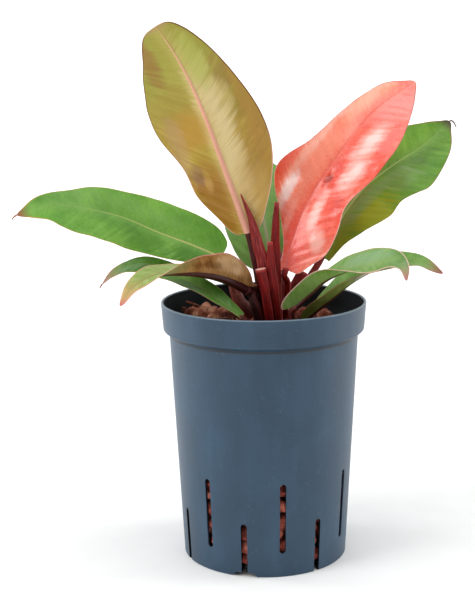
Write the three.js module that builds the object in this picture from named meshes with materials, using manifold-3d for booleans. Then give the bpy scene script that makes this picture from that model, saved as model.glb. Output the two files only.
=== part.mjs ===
// Potted philodendron: a leafy shoot rooted in baked-clay pellets in a slotted culture pot.
// Millimetres, +Z up. The origin is the middle of the pot's underside, and -Y is the front.
import * as THREE from "three";
import { mergeVertices } from "three/addons/utils/BufferGeometryUtils.js";
import Module from "manifold-3d";

const wasm = await Module();
wasm.setup();

// ---------- driving dimensions ----------
// pot
const RIM_DIAMETER = 150;
const POT_HEIGHT = 190;
const POT_WALL = 1.6;
const COLLAR_HEIGHT = 19; // the wider band under the rim
const COLLAR_FLARE = 1.5; // how much the collar's radius grows up to the rim
const COLLAR_STEP = 4.5; // how far the collar stands out from the body
const SHOULDER_HEIGHT = 5; // of the slope from the body out to the collar
const BODY_TAPER = 8.5; // how much the body's radius shrinks down to the foot
const FLOOR_THICKNESS = 2;
const FOOT_RECESS = 3.5; // the floor's height above what the pot stands on
const FOOT_RING_WIDTH = 2.6;
const CENTRE_PAD_DIAMETER = 24; // the boss under the middle of the floor
const SLOT_WIDTH = 4.5;
const SLOT_PAIRS = 7; // one low and one tall slot each
const LOW_SLOT_TOP = 40;
const TALL_SLOT_BOTTOM = 18;
const TALL_SLOT_TOP = 70;
const FIRST_SLOT_ANGLE = -14; // degrees round from the front
const NOTCH_COUNT = 3;
const NOTCH_WIDTH = 19;
const NOTCH_HEIGHT = 3;
const POT_SIDES = 56;

// clay pellets
const FILL_DEPTH = 22; // from the rim down to the pellets at the wall
const FILL_CLEARANCE = 0.4; // to the pot
const PELLET_DIAMETER = 11;
const MOUND_HEIGHT = 8;
const MOUND_RADIUS = 34;
const MOUND_CENTRE = [-12, 8];
const LOOSE_PELLET_SINK = 0.3; // the share of its radius that a loose pellet sinks in
const FILL_SIDES = 40;
const FILL_RINGS = 9;

// plant
const PLANT_HEIGHT = 218; // from the pellets at the wall to the highest midrib's tip
const TABLE_HEIGHT = 218; // the height that the leaf and stalk tables are written for
const BLADE_THICKNESS = 0.8;
const STALK_GIRTH = 1; // multiplies every stalk's thickness
const STEM_DIAMETER = 29;
const STEM_LENGTH = 62; // from its foot up to its crown
const STEM_CROWN = [5, -3, 8];
const ROOT_COUNT = 6;
const ROOT_DIAMETER = 4.4;
const JOINT_GAP = 0.3; // between pieces that grow or lie against each other

// derived
const SCALE = PLANT_HEIGHT / TABLE_HEIGHT;
const RIM_RADIUS = RIM_DIAMETER / 2;
const COLLAR_BOTTOM = POT_HEIGHT - COLLAR_HEIGHT;
const COLLAR_RADIUS = RIM_RADIUS - COLLAR_FLARE;
const BODY_TOP = COLLAR_BOTTOM - SHOULDER_HEIGHT;
const BODY_RADIUS = COLLAR_RADIUS - COLLAR_STEP;
const FOOT_RADIUS = BODY_RADIUS - BODY_TAPER;
const FLOOR_TOP = FOOT_RECESS + FLOOR_THICKNESS;
const SURFACE = POT_HEIGHT - FILL_DEPTH; // the pellets' height at the wall

// ---------- materials ----------
const finish = (color, roughness) =>
  new THREE.MeshStandardMaterial({ color, roughness, metalness: 0 });
const POT_PLASTIC = finish("#46586a", 0.45);
const CLAY = finish("#9a5a44", 0.95);
const GREEN = finish("#5f9a3c", 0.4);
const GOLD = finish("#a8933f", 0.4);
const CORAL = finish("#ee6a5c", 0.35);
const BRONZE = finish("#8a6a35", 0.4);
const STALK = finish("#6b1f24", 0.4);
const DRY = finish("#6a3a2c", 0.8);
const ROOT = finish("#c9b48a", 0.8);

// ---------- stalks ----------
// Points run from the stem outward, with heights above the pellets at the wall. girth is the half
// width along the points, and flat is the share of it that the stalk is thick. A petiole goes on to
// the base of its leaf. A stalk listed first keeps its full section, and a later one is hollowed
// where it lies against it, as leaf bases are.
const PETIOLE_FLAT = 0.9;
const PETIOLE_RUN = 4; // its last stretch, straight into the blade
const STALK_SEAT_SHARE = 0.5; // how far out from the stem's middle, as a share of its radius
const STALK_SEAT_DEPTH = 11; // below the stem's crown
const STALKS = [
  {
    name: "cut_petiole_stub",
    path: [[5, -20, 6], [3, -22, 20], [1, -23, 34], [-2, -24, 49]],
    girth: [2.8, 3.2, 3.4, 3.8],
    flat: 0.85,
  },
  {
    name: "sheath_brown",
    path: [[9, -16, 6], [7.5, -18.5, 22], [5.5, -21, 51], [5, -22, 68]],
    girth: [4.5, 4.4, 3.2, 2],
    flat: 0.55,
    skin: DRY,
  },
  {
    name: "sheath_spear",
    path: [[3.5, -14, 8], [0, -17, 50], [-3, -19, 63], [-8, -21, 83], [-15.4, -23, 102]],
    girth: [3.2, 4.2, 4.4, 2.6, 0.5],
    flat: 0.5,
  },
  { leaf: "bronze", path: [[-1, -13, 6], [-5, -16, 21]], girth: [5, 4.4] },
  { leaf: "front_right", path: [[13, -15, 6], [20, -22, 13]], girth: [3, 2.8] },
  { leaf: "low_left", path: [[-4, -16, 4], [-9, -23, 8]], girth: [3, 2.6] },
  { leaf: "low_right", path: [[16, -10, 4], [24, -16, 7]], girth: [3, 2.6] },
  {
    name: "sheath_red",
    path: [[10, -9, 6], [9.7, -10, 13], [9, -12, 46], [8.7, -13, 68], [9.8, -13.5, 95]],
    girth: [4.2, 4.2, 3.6, 3, 1.6],
    flat: 0.8,
  },
  { leaf: "gold", path: [[1, -8, 6], [-2.4, -10.5, 35]], girth: [3.8, 3.2] },
  { leaf: "coral", path: [[15, -4, 6], [17.4, -9, 34]], girth: [3.2, 2.8] },
  {
    name: "sheath_red_inner",
    path: [[12.5, -2, 6], [12, -4, 45], [11, -6, 60]],
    girth: [3.5, 3.2, 1.8],
    flat: 0.6,
  },
  { leaf: "left_green", path: [[-4, 0, 6], [-18.6, 0, 23]], girth: [5, 4.2] },
  {
    name: "sheath_right",
    path: [[13, 0, 6], [18, 1, 22], [24.5, 1, 33], [29.3, 2, 42]],
    girth: [4, 4.8, 5, 4.5],
    flat: 0.5,
  },
  { leaf: "right_green", path: [[17, 5, 6], [30, 9, 30]], girth: [3.6, 3] },
  { leaf: "back_green", path: [[4, 9, 6], [4, 12, 30]], girth: [3.2, 2.8] },
];

// ---------- leaves ----------
// midrib is a smooth curve from the blade's base to its tip, with heights above the pellets at the
// wall, and face is the way that the upper surface looks along it. left and right are half widths
// as shares of width, at equal steps from base to tip, seen from above with the tip away. fold is
// the angle in degrees that each half is raised off flat, lobe is how far the half's shoulder
// reaches back past the base, and rib is the midrib's half width at the base.
const LEAVES = [
  {
    name: "gold",
    skin: GOLD,
    midrib: [[-11, -16, 74], [-27, -22, 121], [-42, -29, 164], [-56, -35, 194], [-71, -40, 218]],
    face: [[0.25, 1, 0.1], [0.2, 1, 0.2]],
    width: 35,
    left: [0.8, 0.85, 1.05, 1.05, 0.88, 0.85, 1.2],
    right: [0.8, 0.8, 0.9, 1.05, 1.1, 1.05, 1.7],
    fold: { left: [12, 14, 12], right: [10, 12, 8] },
    lobe: 5,
    rib: 2.7,
  },
  {
    name: "coral",
    skin: CORAL,
    midrib: [[16, -14, 46], [20, -11, 64], [32, -5, 94], [52, 6, 123], [80, 24, 155], [113, 44, 177]],
    face: [[-0.2, -1, 0.25], [-0.3, -1, 0.4]],
    width: 31,
    left: [0.8, 0.5, 0.85, 0.8, 0.6, 0.6, 0.3],
    right: [1.2, 1.4, 1.05, 1, 1.1, 0.75, 0.3],
    fold: { left: [20, 15, 10], right: [12, 14, 10] },
    lobe: 3,
    rib: 2.4,
  },
  {
    name: "right_green",
    skin: GREEN,
    midrib: [[43, 14, 51], [55, 22, 74], [74, 34, 98], [96, 46, 114], [122, 60, 129], [143, 72, 146]],
    face: [[-0.2, -1, 0.5], [-0.1, -1, 0.6]],
    width: 29,
    left: [0.5, 0.7, 0.8, 0.8, 0.85, 0.8, 0.4],
    right: [0.5, 0.6, 1, 1, 1.05, 0.7, 0.4],
    fold: { left: [15, 12, 8], right: [12, 12, 8] },
    lobe: 3,
    rib: 2.6,
  },
  {
    name: "back_green",
    skin: GREEN,
    midrib: [[5, 17, 42], [3, 24, 64], [-4, 44, 94], [-16, 72, 122]],
    face: [[0.1, -1, 0.5], [0, -0.8, 0.7]],
    width: 27,
    left: [0.6, 1.15, 1.15, 1, 0.9, 0.8, 0.4],
    right: [0.6, 1.1, 1.15, 1, 0.9, 0.8, 0.4],
    fold: { left: [15, 12, 8], right: [12, 12, 8] },
    lobe: 3,
    rib: 2.4,
  },
  {
    name: "left_green",
    skin: GREEN,
    midrib: [[-30, 2, 53], [-52, 0, 63], [-76, -4, 73], [-105, -10, 86], [-145, -19, 95], [-173, -25, 89]],
    face: [[0.25, -0.75, 0.7], [0.1, -0.7, 0.8]],
    width: 26,
    left: [0.9, 0.88, 0.92, 1.05, 1.05, 0.5, 0.1],
    right: [1.8, 1.5, 1.15, 0.8, 0.6, 0.45, 0.2],
    fold: { left: [10, 10, 8], right: [8, 8, 6] },
    lobe: 4,
    rib: 3,
  },
  {
    name: "bronze",
    skin: BRONZE,
    midrib: [
      [-11, -16, 32], [-22, -22, 39], [-36, -29, 45], [-53, -39, 49], [-74, -52, 50],
      [-89, -63, 43], [-97, -70, 32],
    ],
    face: [[0.3, 0.1, 0.9], [0.2, 0, 1], [0.1, -0.1, 1], [-0.8, -0.5, 0.4]],
    width: 19,
    left: [1.2, 1.2, 1.15, 0.9, 0.75, 0.6, 0.3],
    right: [0.8, 0.75, 0.65, 0.6, 0.6, 0.5, 0.3],
    fold: { left: [80, 75, 25, 0], right: [20, 15, 10, 0] },
    lobe: 10,
    rib: 3.2,
  },
  {
    name: "low_left",
    skin: GREEN,
    midrib: [
      [-16, -29, 15], [-27, -28, 23], [-40, -25, 33], [-53, -21, 40], [-69, -17, 47], [-84, -15, 52],
      [-98, -14, 50], [-109, -13, 44], [-116, -12, 37],
    ],
    face: [[0.6, -0.15, 0.75], [0.5, -0.2, 0.9], [-0.2, -0.2, 0.9]],
    width: 12,
    left: [0.5, 0.9, 1, 1, 0.9, 0.6, 0.2],
    right: [0.5, 1, 1.1, 1.1, 0.9, 0.6, 0.2],
    fold: { left: [50, 35, 10], right: [15, 15, 5] },
    lobe: 2,
    rib: 2,
  },
  {
    name: "front_right",
    skin: GREEN,
    midrib: [
      [22, -26, 21], [33, -31, 32], [45, -38, 44], [65, -48, 54], [85, -58, 60], [94, -62, 56], [97, -64, 47],
    ],
    face: [[-0.6, -0.1, 0.7], [-0.4, -0.1, 1], [0.2, -0.5, 0.9], [0.9, -0.4, 0.3]],
    width: 17,
    left: [1, 1, 1, 0.85, 0.8, 0.7, 0.4],
    right: [1, 1.1, 1, 0.75, 0.7, 0.5, 0.4],
    fold: { left: [10, 15, 10], right: [75, 55, 5, 0] },
    lobe: 17,
    rib: 2.2,
  },
  {
    name: "low_right",
    skin: GREEN,
    midrib: [[30, -20, 11], [46, -22, 25], [64, -24, 40], [84, -26, 50], [108, -28, 54], [126, -30, 46]],
    face: [[-0.6, -0.1, 0.7], [-0.2, -0.5, 1], [0.6, -0.4, 0.7]],
    width: 13,
    left: [1, 1, 1, 0.9, 0.8, 0.7, 0.3],
    right: [1, 1, 1, 0.9, 0.8, 0.7, 0.3],
    fold: { left: [10, 10, 5], right: [70, 40, 5] },
    lobe: 3,
    rib: 2,
  },
];
const BLADE_ROWS = 15;
const BLADE_COLUMNS = 3; // each side of the midrib's ridge
const BLADE_TIP = 0.5; // half width of a blade's tip
const BASE_MARGIN = 2; // how far a blade's square base reaches past its rib
const PETIOLE_CLEARANCE = 0.5; // from a petiole's side to the lobes beside it
const SHOULDER_SPAN = 0.3; // the share of the outline that a lobe takes up
const VEIN_LEAD = 1.25; // over 1, the side veins slant toward the tip
const RIB_DEPTH = 0.9; // a midrib's depth as a share of its half width
const STALK_FACE = new THREE.Vector3(0.15, 1, 0.3); // the way that a sheath's inner face looks
const STALK_SIDES = 10;
const STALK_STEP = 9; // length of a stalk between its rings
const ROOT_SIDES = 6;
const ROOT_STEP = 18;

// ---------- loose pieces on the pellets ----------
// x and y are shares of the pot's inner radius at the surface, and each pellet has its diameter.
const LOOSE_PELLETS = [
  [-0.36, 0.21, 11], [-0.79, 0.3, 11], [-0.64, 0.41, 12], [-0.56, 0.18, 10],
  [-0.7, 0.06, 12], [-0.53, -0.18, 12], [-0.42, -0.36, 13], [0.67, 0.25, 11],
  [0.42, -0.5, 12], [0.45, 0.36, 10], [-0.24, 0.45, 12], [-0.21, -0.71, 11],
];
const LITTER = [
  { name: "dry_stick", path: [[-0.86, 0.2, 1], [-0.88, 0.22, 20]], girth: [1.1, 1.3] },
  {
    name: "dry_root",
    path: [[-0.87, 0.46, 15], [-0.77, 0.49, 12], [-0.67, 0.53, 8], [-0.59, 0.56, 3.5]],
    girth: [0.8, 1, 1.1, 0.9],
  },
];

// ---------- curves ----------
const vector = ([x, y, z]) => new THREE.Vector3(x, y, z);
const plantPoint = ([x, y, z]) => new THREE.Vector3(x * SCALE, y * SCALE, z * SCALE + SURFACE);
const smoothCurve = (points) => new THREE.CatmullRomCurve3(points, false, "catmullrom");

// A smooth value between the listed ones, for a share from 0 to 1.
function smoothValue(values, share) {
  const curve = smoothCurve(values.map((value, i) => new THREE.Vector3(i, value, 0)));
  return curve.getPoint(THREE.MathUtils.clamp(share, 0, 1)).y;
}

// The part of a direction that is square to an axis, at length 1.
const squareTo = (direction, axis) =>
  direction.clone().addScaledVector(axis, -direction.dot(axis)).normalize();

// ---------- solids ----------
function solidOf(geometry) {
  const plain = geometry.clone();
  plain.deleteAttribute("normal");
  plain.deleteAttribute("uv");
  const merged = mergeVertices(plain, 1e-4);
  return new wasm.Manifold(
    new wasm.Mesh({
      numProp: 3,
      vertProperties: new Float32Array(merged.attributes.position.array),
      triVerts: new Uint32Array(merged.index.array),
    }),
  );
}

function geometryOf(solid) {
  const mesh = solid.getMesh();
  const geometry = new THREE.BufferGeometry();
  const positions = [];
  for (let i = 0; i < mesh.numVert; i++) {
    positions.push(...mesh.vertProperties.subarray(i * mesh.numProp, i * mesh.numProp + 3));
  }
  geometry.setAttribute("position", new THREE.Float32BufferAttribute(positions, 3));
  geometry.setIndex([...mesh.triVerts]);
  geometry.computeVertexNormals();
  return geometry;
}

function indexedGeometry(points, triangles) {
  const geometry = new THREE.BufferGeometry().setFromPoints(points);
  geometry.setIndex(triangles);
  return geometry;
}

// A closed solid through rings of points, each ring counterclockwise as seen from the last one.
function loft(rings) {
  const sides = rings[0].length;
  const points = rings.flat();
  const triangles = [];
  for (let ring = 0; ring + 1 < rings.length; ring++) {
    for (let side = 0; side < sides; side++) {
      const a = ring * sides + side;
      const b = ring * sides + ((side + 1) % sides);
      triangles.push(a, b, b + sides, a, b + sides, a + sides);
    }
  }
  const last = (rings.length - 1) * sides;
  for (let side = 1; side + 1 < sides; side++) {
    triangles.push(0, side + 1, side, last, last + side, last + side + 1);
  }
  return solidOf(indexedGeometry(points, triangles));
}

// A round bar along a curve, with its half width along it, flattened toward its face.
function bar(curve, girth, flat, face, grow = 0, sides = STALK_SIDES, spacing = STALK_STEP) {
  const steps = Math.max(3, Math.round(curve.getLength() / spacing));
  const rings = [];
  for (let step = 0; step <= steps; step++) {
    const share = step / steps;
    const centre = curve.getPointAt(share);
    const along = curve.getTangentAt(share);
    if (step === 0) centre.addScaledVector(along, -grow);
    if (step === steps) centre.addScaledVector(along, grow);
    const up = squareTo(face, along);
    const across = new THREE.Vector3().crossVectors(along, up);
    const halfWidth = smoothValue(girth, share);
    const ring = [];
    for (let side = 0; side < sides; side++) {
      const angle = (-2 * Math.PI * side) / sides;
      ring.push(
        centre
          .clone()
          .addScaledVector(across, (halfWidth + grow) * Math.cos(angle))
          .addScaledVector(up, (halfWidth * flat + grow) * Math.sin(angle)),
      );
    }
    rings.push(ring);
  }
  return loft(rings);
}

// ---------- stalks and leaves ----------
function midribOf(leaf) {
  const curve = smoothCurve(leaf.midrib.map(plantPoint));
  const faces = smoothCurve(leaf.face.map(vector));
  const length = curve.getLength();
  // The midrib's place and directions at a distance from the base, straight on past either end.
  const at = (distance) => {
    const share = THREE.MathUtils.clamp(distance / length, 0, 1);
    const along = curve.getTangentAt(share);
    const centre = curve.getPointAt(share).addScaledVector(along, distance - share * length);
    const up = squareTo(faces.getPoint(share), along);
    return { centre, along, up, across: new THREE.Vector3().crossVectors(along, up) };
  };
  return { length, at };
}

const ribWidth = (leaf, share) =>
  THREE.MathUtils.lerp(leaf.rib * STALK_GIRTH, BLADE_TIP * 0.5, Math.min(1, share));

// A point of the blade's middle surface. turn runs 0 to 1 from base to tip along the outline, side
// is -1 on the left, and share runs from 0 at the rib's edge to 1 at the margin, or is -1 on the midrib.
function bladePoint(leaf, midrib, turn, side, share) {
  const width = leaf.width * SCALE;
  const rise = (1 - Math.cos(Math.PI * turn)) / 2;
  const shoulder = Math.min(1, turn / SHOULDER_SPAN);
  const edge = midrib.length * rise - 4 * leaf.lobe * SCALE * shoulder * (1 - shoulder);
  const root = midrib.length * rise ** VEIN_LEAD;
  const end = THREE.MathUtils.lerp(leaf.rib * STALK_GIRTH + BASE_MARGIN, BLADE_TIP, turn);
  const reach = end + width * Math.sin(Math.PI * turn) * smoothValue(side < 0 ? leaf.left : leaf.right, turn);
  const rib = Math.min(ribWidth(leaf, turn) + PETIOLE_CLEARANCE, reach * 0.5);
  const offset = share < 0 ? 0 : rib + (reach - rib) * share;
  const distance = root + (edge - root) * Math.max(0, share);
  const { centre, up, across } = midrib.at(distance);
  const folds = side < 0 ? leaf.fold.left : leaf.fold.right;
  const fold = THREE.MathUtils.degToRad(smoothValue(folds, distance / midrib.length));
  return centre
    .addScaledVector(across, side * offset * Math.cos(fold))
    .addScaledVector(up, offset * Math.sin(fold));
}

function bladeSolid(leaf) {
  const midrib = midribOf(leaf);
  const columns = [];
  for (let i = BLADE_COLUMNS; i >= 0; i--) columns.push([-1, i / BLADE_COLUMNS]);
  columns.push([1, -1]); // the midrib itself
  for (let i = 0; i <= BLADE_COLUMNS; i++) columns.push([1, i / BLADE_COLUMNS]);
  const across = columns.length;
  const points = [];
  for (let row = 0; row <= BLADE_ROWS; row++) {
    for (const [side, share] of columns) {
      points.push(bladePoint(leaf, midrib, row / BLADE_ROWS, side, share));
    }
  }
  const quads = [];
  for (let row = 0; row < BLADE_ROWS; row++) {
    for (let column = 0; column + 1 < across; column++) {
      const a = row * across + column;
      quads.push([a, a + 1, a + across + 1, a + across]);
    }
  }
  const sheet = indexedGeometry(points, quads.flatMap(([a, b, c, d]) => [a, b, c, a, c, d]));
  sheet.computeVertexNormals();
  const normals = sheet.getAttribute("normal");
  const offsetPoint = (i, amount) =>
    points[i].clone().addScaledVector(new THREE.Vector3().fromBufferAttribute(normals, i), amount);
  const middle = (across - 1) / 2;
  const upper = points.map((_, i) => offsetPoint(i, BLADE_THICKNESS / 2));
  const lower = points.map((_, i) => {
    const ridge = i % across === middle ? RIB_DEPTH * ribWidth(leaf, Math.floor(i / across) / BLADE_ROWS) : 0;
    return offsetPoint(i, -BLADE_THICKNESS / 2 - ridge);
  });
  const count = points.length;
  const triangles = quads.flatMap(([a, b, c, d]) => [
    a, b, c, a, c, d, // upper side
    count + a, count + c, count + b, count + a, count + d, count + c,
  ]);
  const rim = [];
  for (let column = 0; column < across; column++) rim.push(column);
  for (let row = 1; row <= BLADE_ROWS; row++) rim.push(row * across + across - 1);
  for (let column = across - 2; column >= 0; column--) rim.push(BLADE_ROWS * across + column);
  for (let row = BLADE_ROWS - 1; row > 0; row--) rim.push(row * across);
  rim.forEach((a, i) => {
    const b = rim[(i + 1) % rim.length];
    triangles.push(a, count + a, count + b, a, count + b, b);
  });
  return solidOf(indexedGeometry([...upper, ...lower], triangles));
}

// The point inside the stem's crown that a stalk grows from, below its first listed point.
function seatInStem(point) {
  const [x, y, z] = STEM_CROWN;
  const outward = new THREE.Vector3(point.x - x, point.y - y, 0).normalize();
  const middle = new THREE.Vector3(x, y, SURFACE + z - STALK_SEAT_DEPTH);
  return middle.addScaledVector(outward, (STALK_SEAT_SHARE * STEM_DIAMETER) / 2);
}

// A stalk's bar. A leaf's petiole goes on to the base of its blade and takes its rib's width there.
function stalkSolid(stalk, grow = 0) {
  const points = stalk.path.map(plantPoint);
  points.unshift(seatInStem(points[0]));
  const girth = [stalk.girth[0], ...stalk.girth].map((value) => value * STALK_GIRTH);
  const face = STALK_FACE.clone();
  const leaf = LEAVES.find(({ name }) => name === stalk.leaf);
  if (leaf) {
    const { centre, along, up } = midribOf(leaf).at(0);
    const end = centre.addScaledVector(along, -JOINT_GAP * 1.3);
    points.push(end.clone().addScaledVector(along, -PETIOLE_RUN), end);
    girth.push(leaf.rib * STALK_GIRTH, leaf.rib * STALK_GIRTH);
    face.copy(up);
  }
  return bar(smoothCurve(points), girth, stalk.flat ?? PETIOLE_FLAT, face, grow);
}

// ---------- pot ----------
const ring = (radius, angle, height) =>
  new THREE.Vector3(radius * Math.sin(angle), -radius * Math.cos(angle), height);
const profile = (pairs) => pairs.map(([radius, height]) => new THREE.Vector2(radius, height));
const revolve = (pairs, sides) =>
  solidOf(new THREE.LatheGeometry(profile(pairs), sides).rotateX(Math.PI / 2));

const wallRadius = (height) =>
  FOOT_RADIUS + (BODY_RADIUS - FOOT_RADIUS) * Math.min(1, height / BODY_TOP) - POT_WALL;

// An upright slot with round ends through the wall, centred on its angle round from the front.
function slotCutter(angle, bottom, top) {
  const half = SLOT_WIDTH / 2;
  const outline = new THREE.Shape();
  outline.absarc(0, top - half, half, 0, Math.PI, false);
  outline.absarc(0, bottom + half, half, Math.PI, 2 * Math.PI, false);
  const depth = BODY_RADIUS * 0.3;
  const cutter = new THREE.ExtrudeGeometry(outline, { depth, bevelEnabled: false, curveSegments: 5 });
  cutter.rotateX(Math.PI / 2).translate(0, depth / 2 - FOOT_RADIUS, 0).rotateZ(angle);
  return solidOf(cutter);
}

// A trapezoid cut up into the foot ring.
function notchCutter(angle) {
  const half = NOTCH_WIDTH / 2;
  const corners = [
    [-half, -1],
    [half, -1],
    [half, 0],
    [half - NOTCH_HEIGHT, NOTCH_HEIGHT],
    [NOTCH_HEIGHT - half, NOTCH_HEIGHT],
    [-half, 0],
  ];
  const outline = new THREE.Shape(profile(corners));
  const depth = BODY_RADIUS * 0.3;
  const cutter = new THREE.ExtrudeGeometry(outline, { depth, bevelEnabled: false });
  cutter.rotateX(Math.PI / 2).translate(0, depth / 2 - FOOT_RADIUS, 0).rotateZ(angle);
  return solidOf(cutter);
}

function potSolid() {
  const lip = POT_WALL / 2;
  let pot = revolve(
    [
      [0, 0],
      [CENTRE_PAD_DIAMETER / 2, 0],
      [CENTRE_PAD_DIAMETER / 2, FOOT_RECESS],
      [FOOT_RADIUS - FOOT_RING_WIDTH, FOOT_RECESS],
      [FOOT_RADIUS - FOOT_RING_WIDTH, 0],
      [FOOT_RADIUS, 0],
      [BODY_RADIUS, BODY_TOP],
      [BODY_RADIUS + COLLAR_STEP * 0.6, BODY_TOP + SHOULDER_HEIGHT * 0.3],
      [COLLAR_RADIUS, COLLAR_BOTTOM],
      [RIM_RADIUS, POT_HEIGHT - lip],
      [RIM_RADIUS - lip, POT_HEIGHT],
      [RIM_RADIUS - POT_WALL, POT_HEIGHT - lip],
      [COLLAR_RADIUS - POT_WALL, COLLAR_BOTTOM + POT_WALL],
      [BODY_RADIUS - POT_WALL, BODY_TOP + POT_WALL],
      [wallRadius(FLOOR_TOP), FLOOR_TOP],
      [0, FLOOR_TOP],
    ],
    POT_SIDES,
  );
  const step = Math.PI / SLOT_PAIRS;
  for (let pair = 0; pair < SLOT_PAIRS; pair++) {
    const angle = THREE.MathUtils.degToRad(FIRST_SLOT_ANGLE) + 2 * pair * step;
    pot = pot.subtract(slotCutter(angle, -SLOT_WIDTH, LOW_SLOT_TOP));
    pot = pot.subtract(slotCutter(angle + step, TALL_SLOT_BOTTOM, TALL_SLOT_TOP));
  }
  for (let notch = 0; notch < NOTCH_COUNT; notch++) {
    const angle = THREE.MathUtils.degToRad(FIRST_SLOT_ANGLE) + (2 * Math.PI * notch) / NOTCH_COUNT;
    pot = pot.subtract(notchCutter(angle));
  }
  return pot;
}

// ---------- pellets, stem and roots ----------
function mound(x, y) {
  const distance = Math.hypot(x - MOUND_CENTRE[0], y - MOUND_CENTRE[1]);
  return SURFACE + MOUND_HEIGHT * Math.exp(-(distance ** 2) / (2 * MOUND_RADIUS ** 2));
}

// The height of one lump above the mound's smooth surface.
function lumpHeight(x, y) {
  const wave = Math.sin((2 * Math.PI * x) / PELLET_DIAMETER) * Math.sin((2 * Math.PI * y) / PELLET_DIAMETER);
  return (wave * PELLET_DIAMETER) / 6;
}

// The pellets packed below the surface, as one body with a lumpy top.
function fillSolid() {
  const topRadius = wallRadius(SURFACE) - FILL_CLEARANCE;
  const floorRadius = wallRadius(FLOOR_TOP) - FILL_CLEARANCE;
  const shoulder = PELLET_DIAMETER / 4; // how far the pellets fall away at the wall
  const level = (radius, height) =>
    Array.from({ length: FILL_SIDES }, (_, i) => {
      const point = ring(radius, (i * 2 * Math.PI) / FILL_SIDES, 0);
      point.z = height(point.x, point.y);
      return point;
    });
  const rings = [
    level(1, () => FLOOR_TOP + FILL_CLEARANCE),
    level(floorRadius, () => FLOOR_TOP + FILL_CLEARANCE),
    level(topRadius, (x, y) => mound(x, y) - shoulder),
  ];
  for (let i = 1; i < FILL_RINGS; i++) {
    rings.push(level(topRadius * (1 - i / FILL_RINGS) + 1, (x, y) => mound(x, y) + lumpHeight(x, y)));
  }
  return loft(rings);
}

function stemSolid(grow = 0) {
  const radius = STEM_DIAMETER / 2 + grow;
  const top = STEM_CROWN[2] + grow;
  const foot = STEM_CROWN[2] - STEM_LENGTH - grow;
  const stem = new THREE.LatheGeometry(
    profile([
      [0, foot],
      [radius * 0.55, foot],
      [radius * 0.8, foot + STEM_LENGTH * 0.35],
      [radius, top - STEM_LENGTH * 0.2],
      [radius * 0.92, top - STEM_LENGTH * 0.08],
      [radius * 0.6, top - STEM_LENGTH * 0.02],
      [0, top],
    ]),
    20,
  );
  stem.rotateX(Math.PI / 2).translate(STEM_CROWN[0], STEM_CROWN[1], SURFACE);
  return solidOf(stem);
}

// A root runs from the stem's foot out and down to the pot's wall, behind a low slot.
function rootSolid(index, grow = 0) {
  const turn = (2 * Math.PI * (index + 0.5)) / ROOT_COUNT;
  const foot = SURFACE + STEM_CROWN[2] - STEM_LENGTH;
  const start = new THREE.Vector3(STEM_CROWN[0], STEM_CROWN[1], 0);
  const low = FLOOR_TOP + LOW_SLOT_TOP / 2;
  const radius = ROOT_DIAMETER / 2;
  const reach = wallRadius(low) - FILL_CLEARANCE - ROOT_DIAMETER;
  const swing = 0.35;
  const points = [
    start.clone().add(ring(STEM_DIAMETER * 0.12, turn, foot + STEM_LENGTH * 0.1)),
    start.clone().add(ring(STEM_DIAMETER * 0.5, turn, foot - STEM_LENGTH * 0.1)),
    ring(reach * 0.7, turn + swing, THREE.MathUtils.lerp(foot, low, 0.45)),
    ring(reach, turn + swing * 1.6, low),
  ];
  const girth = [radius, radius * 0.9, radius * 0.7, radius * 0.4];
  return bar(smoothCurve(points), girth, 1, vector([0.3, 0.2, 1]), grow, ROOT_SIDES, ROOT_STEP);
}

// A rough rounded lump, no two alike.
function pelletSolid(index, grow = 0) {
  const [shareX, shareY, diameter] = LOOSE_PELLETS[index];
  const x = shareX * wallRadius(SURFACE);
  const y = shareY * wallRadius(SURFACE);
  const geometry = new THREE.IcosahedronGeometry(1, 1);
  const position = geometry.getAttribute("position");
  const point = new THREE.Vector3();
  for (let i = 0; i < position.count; i++) {
    point.fromBufferAttribute(position, i);
    const bump = Math.sin(3 * point.x + index) * Math.sin(2.6 * point.y + 2 * index);
    const swell = Math.sin(2.2 * point.z + index);
    point.multiplyScalar((diameter / 2) * (1 + 0.07 * (bump + swell)) + grow);
    position.setXYZ(i, point.x, point.y, point.z * 0.9);
  }
  const sink = (diameter / 2) * LOOSE_PELLET_SINK;
  geometry.rotateZ(index).translate(x, y, mound(x, y) + diameter / 2 - sink);
  return solidOf(geometry);
}

// ---------- assembly ----------
const plant = new THREE.Group();
function addPiece(name, solid, material) {
  const mesh = new THREE.Mesh(geometryOf(solid), material);
  mesh.name = name;
  plant.add(mesh);
}
const apart = (a, b) => {
  const first = a.boundingBox();
  const second = b.boundingBox();
  return [0, 1, 2].some((k) => first.max[k] < second.min[k] || second.max[k] < first.min[k]);
};
// A solid less each of the others that it meets. Crumbs that the cuts leave behind fall away.
function clearOf(solid, others) {
  const rest = others.reduce((left, other) => (apart(left, other) ? left : left.subtract(other)), solid);
  return rest.decompose().reduce((a, b) => (a.volume() > b.volume() ? a : b));
}

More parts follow.
